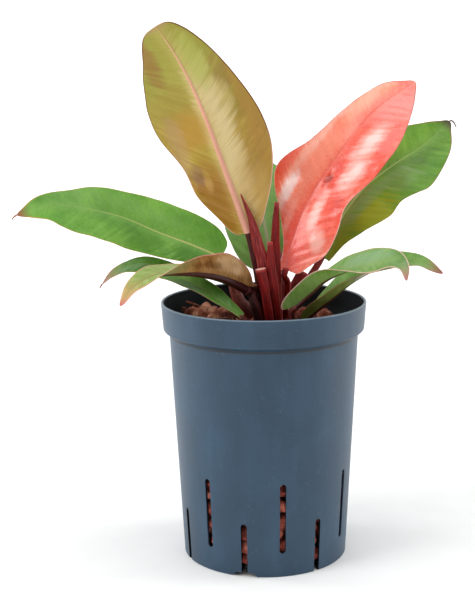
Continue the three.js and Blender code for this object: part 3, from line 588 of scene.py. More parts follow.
class Path:
    """A smooth curve through points, walked by distance and straight on past either end."""

    def __init__(self, points):
        self.samples = smooth(points, np.linspace(0, 1, 80 * len(points)))
        steps = np.linalg.norm(np.diff(self.samples, axis=0), axis=1)
        self.reach = np.concatenate([[0], np.cumsum(steps)])
        self.length = self.reach[-1]

    def spot(self, distance):
        inside = np.clip(distance, 0, self.length)
        return np.stack([np.interp(inside, self.reach, self.samples[:, k]) for k in range(3)], axis=-1)

    def at(self, distance):
        """The centre and the direction along the path there."""
        distance = np.asarray(distance, float)
        inside = np.clip(distance, 0, self.length)
        nudge = self.length / 400
        along = unit(self.spot(inside + nudge) - self.spot(inside - nudge))
        return self.spot(inside) + along * (distance - inside)[..., None], along


# ---------- meshes ----------
def add_object(name, data):
    thing = bpy.data.objects.new(name, data)
    bpy.context.scene.collection.objects.link(thing)
    return thing


def mesh_from(name, points, faces):
    """A mesh from points in millimetres."""
    mesh = bpy.data.meshes.new(name)
    mesh.from_pydata((np.asarray(points) * MM).tolist(), [], faces)
    return mesh


def add_piece(name, points, faces, materials, replaces=(), values=None):
    """A piece of the plant, with point attributes of three numbers each."""
    mesh = mesh_from(name, points, faces)
    for key, rows in (values or {}).items():
        layer = mesh.attributes.new(key, "FLOAT_VECTOR", "POINT")
        layer.data.foreach_set("vector", np.asarray(rows, np.float32).ravel())
    for material in materials:
        mesh.materials.append(material)
    mesh.shade_smooth()
    piece = add_object(name, mesh)
    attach(piece, "root")
    if replaces:
        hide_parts(*replaces)
    return piece


def grid_faces(rows, columns, closed=False):
    """Quads over a grid of points, counted row by row."""
    faces = []
    for row in range(rows - 1):
        for column in range(columns if closed else columns - 1):
            a = row * columns + column
            b = row * columns + (column + 1) % columns
            faces.append((a, b, b + columns, a + columns))
    return faces


def stack_rings(rings, low, high):
    """Points and faces of stacked rings that close on a middle point at each end."""
    count, sides = np.shape(rings)[:2]
    points = np.concatenate([np.reshape(rings, (-1, 3)), [low, high]])
    first, last = count * sides, count * sides + 1
    top = (count - 1) * sides
    faces = grid_faces(count, sides, closed=True)
    faces += [(first, (k + 1) % sides, k) for k in range(sides)]
    faces += [(last, top + k, top + (k + 1) % sides) for k in range(sides)]
    return points, faces


def tidy_mesh(piece):
    """Merges the points that fall together at an end, and turns every face outward."""
    mesh = bmesh.new()
    mesh.from_mesh(piece.data)
    bmesh.ops.remove_doubles(mesh, verts=mesh.verts, dist=1e-6)
    bmesh.ops.recalc_face_normals(mesh, faces=mesh.faces)
    mesh.to_mesh(piece.data)
    mesh.free()


# ---------- leaf blades ----------
def midrib_of(leaf):
    path = Path(np.array(leaf["midrib"]) + [0, 0, SURFACE])

    def at(distance):
        centre, along = path.at(distance)
        up = square_to(smooth(leaf["face"], np.clip(distance / path.length, 0, 1)), along)
        return centre, along, up, np.cross(along, up)

    return path.length, at


def rib_width(leaf, share):
    return leaf["rib"] + (BLADE_TIP * 0.5 - leaf["rib"]) * np.minimum(1, share)


def blade_surface(leaf):
    """The blade's middle surface as rows of points from base to tip and columns from the left margin
    to the right one, with what the skin needs to know at each."""
    length, at = midrib_of(leaf)
    # a drip tip is a thin tail past the midrib's last point, which sags as it goes
    beyond = np.linspace(0, 1, DRIP_ROWS + 1)[1:] if "drip" in leaf else np.zeros(0)
    turn = np.concatenate([np.linspace(0, 1, BLADE_ROWS + 1), np.ones(len(beyond))])[:, None]
    beyond = np.concatenate([np.zeros(BLADE_ROWS + 1), beyond])[:, None]
    tail = beyond * leaf.get("drip", 0)
    rise = (1 - np.cos(np.pi * turn)) / 2
    shoulder = np.minimum(1, turn / SHOULDER_SPAN)
    edge = length * rise - 4 * leaf["lobe"] * shoulder * (1 - shoulder) + tail
    root = length * rise ** VEIN_LEAD + tail
    end = leaf["rib"] + BASE_MARGIN + (BLADE_TIP - leaf["rib"] - BASE_MARGIN) * turn
    # columns crowd toward the midrib and the margin, where the shape changes fastest
    steps = np.linspace(0, 1, BLADE_COLUMNS + 1)[1:]
    shares = (1 - np.cos(np.pi * steps)) / 2 * 0.6 + steps * 0.4
    halves = []
    for side, widths, folds in ((-1, leaf["left"], leaf["fold"][0]), (1, leaf["right"], leaf["fold"][1])):
        reach = end + leaf["width"] * np.sin(np.pi * turn) * smooth(widths, turn)
        reach = reach * (1 - DRIP_TAPER * beyond)
        rib = np.minimum(rib_width(leaf, turn) + PETIOLE_CLEARANCE, reach * 0.5)
        offset = np.hstack([rib * RIB_STEPS, rib, rib + (reach - rib) * shares])
        share = np.hstack([turn * 0 + RIB_STEPS * 0, turn * 0, turn * 0 + shares])
        distance = root + (edge - root) * share
        centre, _, up, across = at(distance)
        fold = np.radians(smooth(folds, np.clip(distance / length, 0, 1)))
        lift = offset - CREASE_RADIUS * (1 - np.exp(-offset / CREASE_RADIUS))
        point = centre + across * (side * offset * np.cos(fold))[..., None]
        point += up * (lift * np.sin(fold))[..., None]
        point[..., 2] -= DRIP_SAG * tail ** 2
        halves.append(dict(
            point=point, offset=side * offset, along=distance, share=share,
            vein=distance - VEIN_SLANT * offset - VEIN_CURVE * offset ** 2,
            margin=(reach - rib) * (1 - share), rib=rib_width(leaf, turn) + share * 0,
            drip=np.minimum(1, 4 * beyond) * (1 - DRIP_TAPER * beyond) + share * 0,
        ))
    left, right = halves
    return length, {
        key: np.concatenate([left[key][:, :0:-1], right[key]], axis=1) for key in left
    }


def grid_normals(point):
    down = np.gradient(point, axis=0)
    over = np.gradient(point, axis=1)
    return unit(np.cross(over, down) + 1e-12)


def vein_ripple(facts, seed):
    """How far the side veins and slow waves of the blade lift its surface, in millimetres."""
    root, share, offset = facts["vein"], facts["share"], facts["offset"]
    side = np.sign(offset)
    turns = root * 2 * np.pi
    veins = np.sin(turns / 8.5 + side * 1.3 + seed) * 0.16 * np.sin(np.pi * np.clip(share, 0, 1)) ** 0.5
    slow = np.sin(turns / 47 + side * 2.1 + seed * 1.7) * 0.7 * share ** 2
    flutter = np.sin(turns / 21 + side + seed * 2.3) * 0.28 * share ** 4
    return veins + slow + flutter


def make_blade(index, leaf):
    length, facts = blade_surface(leaf)
    point = facts["point"]
    lift = vein_ripple(facts, index)
    for along, offset, radius, height in leaf["dents"]:
        away = np.hypot(facts["along"] - along, facts["offset"] - offset) / radius
        lift = lift + height * np.exp(-away ** 2 * 2)
    fade = np.clip(facts["margin"] / 3, 0, 1) * 0.4 + 0.6
    near_ends = np.clip(np.minimum(facts["along"], length - facts["along"]) / 12, 0, 1)
    point = point + grid_normals(point) * (lift * fade * near_ends)[..., None]
    normal = grid_normals(point)
    inner, outer = BLADE_THICKNESS
    thick = outer + (inner - outer) * np.clip(facts["margin"] / 4, 0, 1)
    thick = np.maximum(thick, DRIP_THICKNESS * facts["drip"])
    # the midrib stands out below as a round ridge, and above it is a fine groove
    across = np.clip(np.abs(facts["offset"]) / np.maximum(facts["rib"], 0.2), 0, 1)
    ridge = RIB_DEPTH * facts["rib"] * np.sqrt(1 - across ** 2 * 0.999) * (across < 1)
    groove = np.exp(-(facts["offset"] / (0.25 * facts["rib"] + 0.35)) ** 2)
    groove = GROOVE_DEPTH * np.clip(facts["rib"], 0.3, 1) * groove
    upper = point + normal * (thick / 2 - groove)[..., None]
    lower = point - normal * (thick / 2 + ridge)[..., None]
    rows, columns = point.shape[:2]
    count = rows * columns
    points = np.concatenate([upper.reshape(-1, 3), lower.reshape(-1, 3)])
    top = grid_faces(rows, columns)
    faces = [(a, d, c, b) for a, b, c, d in top]
    faces += [(count + a, count + b, count + c, count + d) for a, b, c, d in top]
    border = [*range(columns)]
    border += [row * columns + columns - 1 for row in range(1, rows)]
    border += [(rows - 1) * columns + column for column in range(columns - 2, -1, -1)]
    border += [row * columns for row in range(rows - 2, 0, -1)]
    # a rounded edge: one more loop of points, a little proud of the margin
    margin = point.reshape(-1, 3)[border]
    inward = np.repeat(point[:, columns // 2], columns, axis=0)[border]
    points = np.concatenate([points, margin + unit(margin - inward + 1e-9) * EDGE_PROUD])
    for i, a in enumerate(border):
        j = (i + 1) % len(border)
        b = border[j]
        rim_a, rim_b = 2 * count + i, 2 * count + j
        faces.append((a, b, rim_b, rim_a))
        faces.append((rim_a, rim_b, count + b, count + a))

    def both(key):
        plain = facts[key].ravel()
        return np.concatenate([plain, plain, plain[border]])

    side = np.concatenate([np.ones(count), np.zeros(count), np.full(len(border), 0.5)])
    values = {
        "leaf_place": np.stack([both("along"), both("offset"), both("margin")], axis=1),
        "leaf_vein": np.stack([both("vein"), both("share"), side], axis=1),
    }
    name = leaf["name"]
    material = leaf_material(f"skin_{name}", dict(length=length, rib=leaf["rib"]), LEAF_LOOKS[name])
    add_piece(f"blade_{name}_skin", points, faces, [material], [f"blade_{name}"], values)


# ---------- stalks ----------
def seat_in_stem(point):
    """The point inside the stem's crown that a stalk grows from, below its first listed point."""
    outward = unit(np.array([point[0] - STEM_CROWN[0], point[1] - STEM_CROWN[1], 0.0]))
    middle = np.array([STEM_CROWN[0], STEM_CROWN[1], SURFACE + STEM_CROWN[2] - STALK_SEAT_DEPTH])
    return middle + outward * STALK_SEAT_SHARE * STEM_DIAMETER / 2


def bar_rings(points, girth, flat, face, sides, spacing, section):
    """Rings of points along a path, with each ring's distance, each point's angle and the length."""
    path = Path(points)
    steps = max(4, round(path.length / spacing))
    distance = np.linspace(0, path.length, steps + 1)
    centre, along = path.at(distance)
    up = square_to(face, along)
    across = np.cross(along, up)
    angle = np.linspace(0, 2 * np.pi, sides, endpoint=False)
    wide = smooth(girth, distance / path.length)
    reach = wide[:, None] * section(distance[:, None], angle[None, :])
    right = reach * np.cos(angle)
    rise = reach * flat * np.sin(angle)
    rings = centre[:, None] + across[:, None] * right[..., None] + up[:, None] * rise[..., None]
    return rings, distance, angle, path.length


def ribbed_section(seed, groove=0.12, ribs=11, depth=0.025):
    """A stalk's section: a shallow channel on its inner face and fine lengthwise ribs."""
    def section(distance, angle):
        channel = groove * np.exp(-((angle - np.pi / 2) / 0.45) ** 2)
        ridges = depth * np.sin(ribs * angle + seed + distance * 0.01)
        knots = 0.03 * np.sin(distance * 0.13 + seed * 2 + 2 * angle) + 0.02 * np.sin(distance * 0.31 + seed)
        return 1 - channel + ridges + knots
    return section


def make_bar(name, rings, distance, angle, length, material, slot, replaces, cut_face=None):
    """A closed bar round its rings. Its far end is round, or cut across where a cut face is given."""
    rows, sides = rings.shape[:2]
    first, last = rings[0].mean(0), rings[-1].mean(0)
    run = unit(last - rings[-2].mean(0))
    radius = np.linalg.norm(rings[-1] - last, axis=1).min()
    start = [first + (rings[0] - first) * k for k in (0.0, 0.5, 0.85)]
    if cut_face:
        ends = ((0.8, -0.12), (0.4, -0.12))
    else:
        ends = ((0.94, 0.0625), (0.75, 0.15), (0.4, 0.225))
    stop = [last + (rings[-1] - last) * k + run * radius * rise for k, rise in ends]
    every = np.array([*start, *rings, *stop])
    total = len(every)
    tip = every[-1].mean(0) + run * radius * (0 if cut_face else 0.05)
    points = np.concatenate([every.reshape(-1, 3), [tip]])
    last_ring = (total - 1) * sides
    faces = grid_faces(total, sides, closed=True)
    faces += [(total * sides, last_ring + k, last_ring + (k + 1) % sides) for k in range(sides)]
    along = np.concatenate([np.zeros(len(start)), distance, np.full(len(stop), length)])
    turn = np.tile(angle / (2 * np.pi), total)
    place = np.stack([np.repeat(along, sides), turn, np.repeat(along / length, sides)], 1)
    place = np.concatenate([place, [[length, 0, 1]]])
    materials = [material, cut_face] if cut_face else [material]
    piece = add_piece(name, points, faces, materials, replaces, {"stalk_place": place})
    if cut_face:
        cut = (len(start) + rows - 1) * sides
        for polygon in piece.data.polygons:
            if min(polygon.vertices) >= cut:
                polygon.material_index = 1
    tidy_mesh(piece)


def make_stalk(index, stalk, looks, cut_face):
    points = [np.array(p, float) + [0, 0, SURFACE] for p in stalk["path"]]
    points.insert(0, seat_in_stem(points[0]))
    girth = [stalk["girth"][0], *stalk["girth"]]
    face = STALK_FACE
    if "leaf" in stalk:
        leaf = next(each for each in LEAVES if each["name"] == stalk["leaf"])
        centre, along, up, _ = midrib_of(leaf)[1](0.0)
        points += [centre - along * PETIOLE_RUN, centre + along * 1.5]
        girth += [leaf["rib"], leaf["rib"] * 0.9]
        face = up
    node = stalk.get("name") or f"petiole_{stalk['leaf']}"
    flat = stalk.get("flat", PETIOLE_FLAT)
    rings = bar_rings(points, girth, flat, face, STALK_SIDES, STALK_SPACING, ribbed_section(index))
    cut = cut_face if node == "cut_petiole_stub" else None
    make_bar(f"{node}_skin", *rings, looks[stalk["look"]], "stalk", [node], cut)


# ---------- stem and roots ----------
def ring(radius, angle, height):
    """A point round the pot's axis, with angle 0 at the front."""
    return np.array([radius * math.sin(angle), -radius * math.cos(angle), height])


def wall_radius(height):
    return FOOT_RADIUS + (BODY_RADIUS - FOOT_RADIUS) * min(1, height / BODY_TOP) - POT_WALL


def make_stem(material):
    """The crowded base: a tapering stump ringed by old leaf scars."""
    foot = SURFACE + STEM_CROWN[2] - STEM_LENGTH
    profile = [(0.55, 0), (0.8, 0.35), (1, 0.8), (0.92, 0.92), (0.6, 0.98), (0.2, 1)]
    heights = np.linspace(0, 1, 70)
    wide = np.interp(heights, [p[1] for p in profile], [p[0] for p in profile]) * STEM_DIAMETER / 2
    angle = np.linspace(0, 2 * np.pi, 64, endpoint=False)
    rise = heights[:, None]
    scars = 1 + 0.03 * np.sin(rise * 60 + np.sin(angle * 2)) + 0.04 * np.sin(3 * angle + rise * 9)
    radius = wide[:, None] * scars
    rings = np.stack([
        STEM_CROWN[0] + radius * np.cos(angle),
        STEM_CROWN[1] + radius * np.sin(angle),
        np.repeat((foot + heights * STEM_LENGTH)[:, None], 64, axis=1),
    ], axis=-1)
    make_bar("stem_skin", rings, heights * STEM_LENGTH, angle, STEM_LENGTH, material, "stalk", ["stem"])


def make_roots(material):
    foot = SURFACE + STEM_CROWN[2] - STEM_LENGTH
    low = FLOOR_TOP + LOW_SLOT_TOP / 2
    reach = wall_radius(low) - 0.4 - ROOT_DIAMETER
    start = np.array([STEM_CROWN[0], STEM_CROWN[1], 0])
    radius = ROOT_DIAMETER / 2
    for index in range(ROOT_COUNT):
        turn = 2 * math.pi * (index + 0.5) / ROOT_COUNT
        points = [
            start + ring(STEM_DIAMETER * 0.12, turn, foot + STEM_LENGTH * 0.1),
            start + ring(STEM_DIAMETER * 0.5, turn, foot - STEM_LENGTH * 0.1),
            ring(reach * 0.7, turn + 0.35, foot + (low - foot) * 0.45),
            ring(reach, turn + 0.56, low),
        ]
        girth = [radius, radius * 0.9, radius * 0.7, radius * 0.4]
        section = ribbed_section(index, 0, 5, 0.06)
        rings = bar_rings(points, girth, 1, np.array([0.3, 0.2, 1.0]), 14, 1.5, section)
        make_bar(f"root_{index + 1}_skin", *rings, material, "root", [f"root_{index + 1}"])


# ---------- clay pellets ----------
def mound(x, y):
    distance = math.hypot(x - MOUND_CENTRE[0], y - MOUND_CENTRE[1])
    return SURFACE + MOUND_HEIGHT * math.exp(-(distance ** 2) / (2 * MOUND_RADIUS ** 2))


def unit_ball(level):
    ball = bmesh.new()
    bmesh.ops.create_icosphere(ball, subdivisions=level, radius=1)
    points = np.array([v.co[:] for v in ball.verts])
    faces = [tuple(v.index for v in f.verts) for f in ball.faces]
    ball.free()
    return points, faces


def pellet_points(ball, centre, radius, seed):
    """One pellet: a crumpled lump, with dimples."""
    offset = Vector((seed * 7.31, seed * 3.17, seed * 1.73))
    spin = random.normal(size=(3, 3))
    turn, _ = np.linalg.qr(spin)
    stretch = 1 + random.uniform(-0.14, 0.14, 3)
    out = []
    for p in ball:
        v = Vector(p)
        bumpy = noise.noise(v * 1.1 + offset) * 0.26 + noise.noise(v * 2.6 + offset) * 0.13
        rough = noise.noise(v * 5.5 + offset) * 0.11
        out.append(p * (0.97 + bumpy + rough))
    return centre + (np.array(out) * stretch * radius) @ turn.T


class Pellets:
    """Gathers many pellets into one mesh."""

    def __init__(self, level):
        self.ball, self.faces_of = unit_ball(level)
        self.points, self.faces, self.tones = [], [], []

    def add(self, centre, diameter):
        seed = len(self.points) + 1 + 97 * len(self.ball)
        self.faces += [tuple(i + len(self.ball) * len(self.points) for i in f) for f in self.faces_of]
        self.points.append(pellet_points(self.ball, np.array(centre, float), diameter / 2, seed))
        self.tones.append(np.full(len(self.ball), random.random()))

    def make(self, name, material, replaces=()):
        tones = np.concatenate(self.tones)
        values = {"pellet_tone": np.stack([tones, tones, tones], 1)}
        points = np.concatenate(self.points)
        add_piece(name, points, self.faces, [material], replaces, values)


def scatter(count, spacing, radius):
    """Spots in a disc, none closer than spacing."""
    spots = []
    for _ in range(count):
        r, a = radius * math.sqrt(random.random()), random.random() * 2 * math.pi
        x, y = r * math.cos(a), r * math.sin(a)
        if all((x - u) ** 2 + (y - v) ** 2 > spacing ** 2 for u, v in spots):
            spots.append((x, y))
    return spots


def make_pellets(material, wet_painted_light_material):
    for index, (x, y, diameter) in enumerate(LOOSE_PELLETS):
        x, y = x * wall_radius(SURFACE), y * wall_radius(SURFACE)
        pellet = Pellets(4)
        pellet.add((x, y, mound(x, y) + diameter / 2 * (1 - LOOSE_PELLET_SINK)), diameter)
        pellet.make(f"clay_pellet_{index + 1}_skin", material, [f"clay_pellet_{index + 1}"])
    bed = Pellets(3)
    for x, y in scatter(4000, PELLET_DIAMETER * 0.82, wall_radius(SURFACE) - PELLET_DIAMETER * 0.45):
        bed.add((x, y, mound(x, y) - PELLET_DIAMETER * 0.3 + random.uniform(-1.5, 1.5)),
                PELLET_DIAMETER * random.uniform(0.85, 1.15))
    bed.make("clay_pellet_bed", material)
    # the pellets that press against the wall behind each slot, in glossy wet clay painted in lighter tones as
    # painted light
    behind = Pellets(3)
    for index in range(2 * SLOT_PAIRS):
        angle = FIRST_SLOT_ANGLE + index * math.pi / SLOT_PAIRS
        top = TALL_SLOT_TOP if index % 2 else LOW_SLOT_TOP
        height = FLOOR_TOP + PELLET_DIAMETER / 2
        while height < top + PELLET_DIAMETER:
            diameter = PELLET_DIAMETER * random.uniform(0.7, 1.05)
            radius = wall_radius(height) - diameter / 2 - random.uniform(0.2, 1.6)
            swing = random.uniform(-0.05, 0.05)
            behind.add(ring(radius, angle + swing, height), diameter)
            side = random.choice([-1, 1]) * 0.15
            behind.add(ring(radius - 3, angle + side, height + diameter / 2), diameter * 0.9)
            height += diameter * random.uniform(0.9, 1.2)
    behind.make("clay_pellets_behind_slots", wet_painted_light_material)


def make_fill_core(material):
    """The dark packed middle that the outer pellets lie on."""
    low, high = FLOOR_TOP + 1, SURFACE - CORE_DROP + 1
    profile = []
    for share in np.linspace(0, 1, 24):
        profile.append((wall_radius(0) * CORE_SHARE * min(1, share * 12 + 0.05), low + share * (high - low)))
    for share in np.linspace(0.95, 0.02, 22):
        profile.append((wall_radius(SURFACE) * CORE_SHARE * share, None))

    def spot(radius, height, angle):
        across, away = math.cos(angle), math.sin(angle)
        radius *= 1 + 0.02 * noise.noise(Vector((across * 5, away * 5, (height or 170) * 0.12)))
        x, y = radius * across, radius * away
        if height is None:
            height = mound(x, y) - PELLET_DIAMETER + 2 * noise.noise(Vector((x, y, 0)) * 0.12)
        return x, y, height

    angles = np.linspace(0, 2 * np.pi, 90, endpoint=False)
    rings = np.array([[spot(radius, height, angle) for angle in angles] for radius, height in profile])
    points, faces = stack_rings(rings, rings[0].mean(0), rings[-1].mean(0))
    tones = {"pellet_tone": np.full((len(points), 3), 0.2)}
    core = add_piece("clay_fill_core", points, faces, [material], ["clay_pellet_fill"], tones)
    tidy_mesh(core)


# ---------- litter ----------
def make_litter(material):
    inside = wall_radius(SURFACE)
    for index, each in enumerate(LITTER):
        points = [np.array([x * inside, y * inside, z + SURFACE]) for x, y, z in each["path"]]
        section = ribbed_section(index + 3, 0.1, 6, 0.09)
        rings = bar_rings(points, each["girth"], 1, STALK_FACE, 18, 0.8, section)
        make_bar(f"{each['name']}_skin", *rings, material, "dry_sheath", [each["name"]])


# ---------- pot ----------
def arc(centre, radius, start, end, steps):
    """Points round a centre, with angles in degrees."""
    angles = np.radians(np.linspace(start, end, steps))
    return [(centre[0] + radius * math.cos(a), centre[1] + radius * math.sin(a)) for a in angles]


def wall_line(start, end, step):
    """Points up a straight wall, close enough for a slot to be cut cleanly."""
    count = max(1, round(abs(end[1] - start[1]) / step))
    return [(start[0] + (end[0] - start[0]) * k / count, start[1] + (end[1] - start[1]) * k / count)
            for k in range(1, count)]


def pot_profile():
    """The pot's section, from the middle of its underside, up the outside and down the inside."""
    lip = POT_WALL * 0.62
    foot_inner = FOOT_RADIUS - FOOT_RING_WIDTH
    fillet = 2.2  # at the collar's lower edge
    body = (BODY_RADIUS, BODY_TOP)
    inner_top = (BODY_RADIUS - POT_WALL, BODY_TOP + POT_WALL)
    inner_foot = (wall_radius(FLOOR_TOP), FLOOR_TOP + 1.2)
    outside = [(0, 0), (CENTRE_PAD_RADIUS - 0.6, 0), (CENTRE_PAD_RADIUS, 0.6),
               (CENTRE_PAD_RADIUS, FOOT_RECESS), (foot_inner, FOOT_RECESS), (foot_inner, 0.5),
               (foot_inner + 0.5, 0), (FOOT_RADIUS - 0.5, 0), (FOOT_RADIUS, 0.5)]
    outside += wall_line((FOOT_RADIUS, 0.5), body, 3.0) + [body]
    # out under the collar, round its lower edge and up to the lip
    outside += arc((body[0] + 1.6, body[1] + 0.2), 1.6, 180, 120, 4)[1:]
    outside += arc((COLLAR_RADIUS - fillet, COLLAR_BOTTOM - 1.2 + fillet * 0.6), fillet, -75, 0, 7)
    outside += wall_line((COLLAR_RADIUS, COLLAR_BOTTOM), (RIM_RADIUS - 0.25, POT_HEIGHT - 2.4), 5.0)
    outside += [(RIM_RADIUS - 0.25, POT_HEIGHT - 2.4)]
    outside += arc((RIM_RADIUS - lip, POT_HEIGHT - lip), lip, -20, 200, 12)
    inside = [(RIM_RADIUS - POT_WALL - 0.35, POT_HEIGHT - 3)]
    inside += wall_line(inside[0], (COLLAR_RADIUS - POT_WALL, COLLAR_BOTTOM + POT_WALL), 5.0)
    inside += [(COLLAR_RADIUS - POT_WALL, COLLAR_BOTTOM + POT_WALL), inner_top]
    inside += wall_line(inner_top, inner_foot, 3.0)
    inside += [inner_foot, (inner_foot[0] - 1.2, FLOOR_TOP), (0, FLOOR_TOP)]
    return outside + inside


def lathe(name, profile, sides):
    """A closed solid turned round Z from a profile that starts and ends on the axis."""
    angle = np.linspace(0, 2 * np.pi, sides, endpoint=False)
    rings = [[(r * math.cos(a), r * math.sin(a), z) for a in angle] for r, z in profile[1:-1]]
    return mesh_from(name, *stack_rings(rings, (0, 0, profile[0][1]), (0, 0, profile[-1][1])))


def prism(outline, depth_near, depth_far, angle):
    """A cutter: an outline of (across, height) pushed through the wall at an angle round the pot."""
    count = len(outline)
    cos, sin = math.cos(angle), math.sin(angle)
    points = [(across * cos + depth * sin, across * sin - depth * cos, height)
              for depth in (depth_near, depth_far) for across, height in outline]
    faces = [tuple(range(count)), tuple(range(2 * count - 1, count - 1, -1))]
    faces += [(k, k + count, (k + 1) % count + count, (k + 1) % count) for k in range(count)]
    return points, faces


def slot_outline(bottom, top):
    half = SLOT_WIDTH / 2
    return arc((0, top - half), half, 0, 180, 9) + arc((0, bottom + half), half, 180, 360, 9)


def inner_radius(height):
    """The radius of the inner face, up the body, out over the shoulder and up the collar."""
    shoulder = COLLAR_STEP * np.clip((height - BODY_TOP - POT_WALL) / SHOULDER_HEIGHT, 0, 1)
    flare = COLLAR_FLARE * np.clip((height - COLLAR_BOTTOM) / COLLAR_HEIGHT, 0, 1)
    return wall_radius(height) + shoulder + flare


def cut_away(piece, prisms):
    points, faces = [], []
    for more_points, more_faces in prisms:
        faces += [tuple(i + len(points) for i in face) for face in more_faces]
        points += more_points
    cutter = add_object("cutter", mesh_from("cutter", points, faces))
    tidy_mesh(cutter)
    cut = piece.modifiers.new("cut", "BOOLEAN")
    cut.operation = "DIFFERENCE"
    cut.solver = "EXACT"
    cut.object = cutter
    bpy.context.view_layer.objects.active = piece
    with bpy.context.temp_override(object=piece, active_object=piece, selected_objects=[piece]):
        bpy.ops.object.modifier_apply(modifier="cut")
    bpy.data.objects.remove(cutter)


def make_pot(material, inner_shade_and_dust):
    pot = add_object("pot_shell", lathe("pot_shell", pot_profile(), 252))
    tidy_mesh(pot)
    slots = []
    for index in range(2 * SLOT_PAIRS):
        angle = FIRST_SLOT_ANGLE + index * math.pi / SLOT_PAIRS
        low, high = (TALL_SLOT_BOTTOM, TALL_SLOT_TOP) if index % 2 else (-SLOT_WIDTH, LOW_SLOT_TOP)
        slots.append(prism(slot_outline(low, high), FOOT_RADIUS - 9, FOOT_RADIUS + 15, angle))
    half = NOTCH_WIDTH / 2
    notch = [(-half, -1), (half, -1), (half, 0), (half - NOTCH_HEIGHT, NOTCH_HEIGHT),
             (NOTCH_HEIGHT - half, NOTCH_HEIGHT), (-half, 0)]
    turns = [FIRST_SLOT_ANGLE + 2 * math.pi * k / NOTCH_COUNT for k in range(NOTCH_COUNT)]
    notches = [prism(notch, FOOT_RADIUS - 9, FOOT_RADIUS + 9, turn) for turn in turns]
    cut_away(pot, slots)
    cut_away(pot, notches)
    pot.data.materials.clear()
    pot.data.materials.append(material)
    pot.data.materials.append(inner_shade_and_dust)
    # the inner faces take the painted shade of the pot's inside
    for polygon in pot.data.polygons:
        x, y, z = polygon.center / MM
        if FLOOR_TOP - 0.1 < z < POT_HEIGHT - 1 and math.hypot(x, y) < inner_radius(z) + POT_WALL * 0.3:
            polygon.material_index = 1
    pot.data.shade_smooth()
    pot.data.set_sharp_from_angle(angle=math.radians(38))
    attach(pot, "root")
    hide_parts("pot")


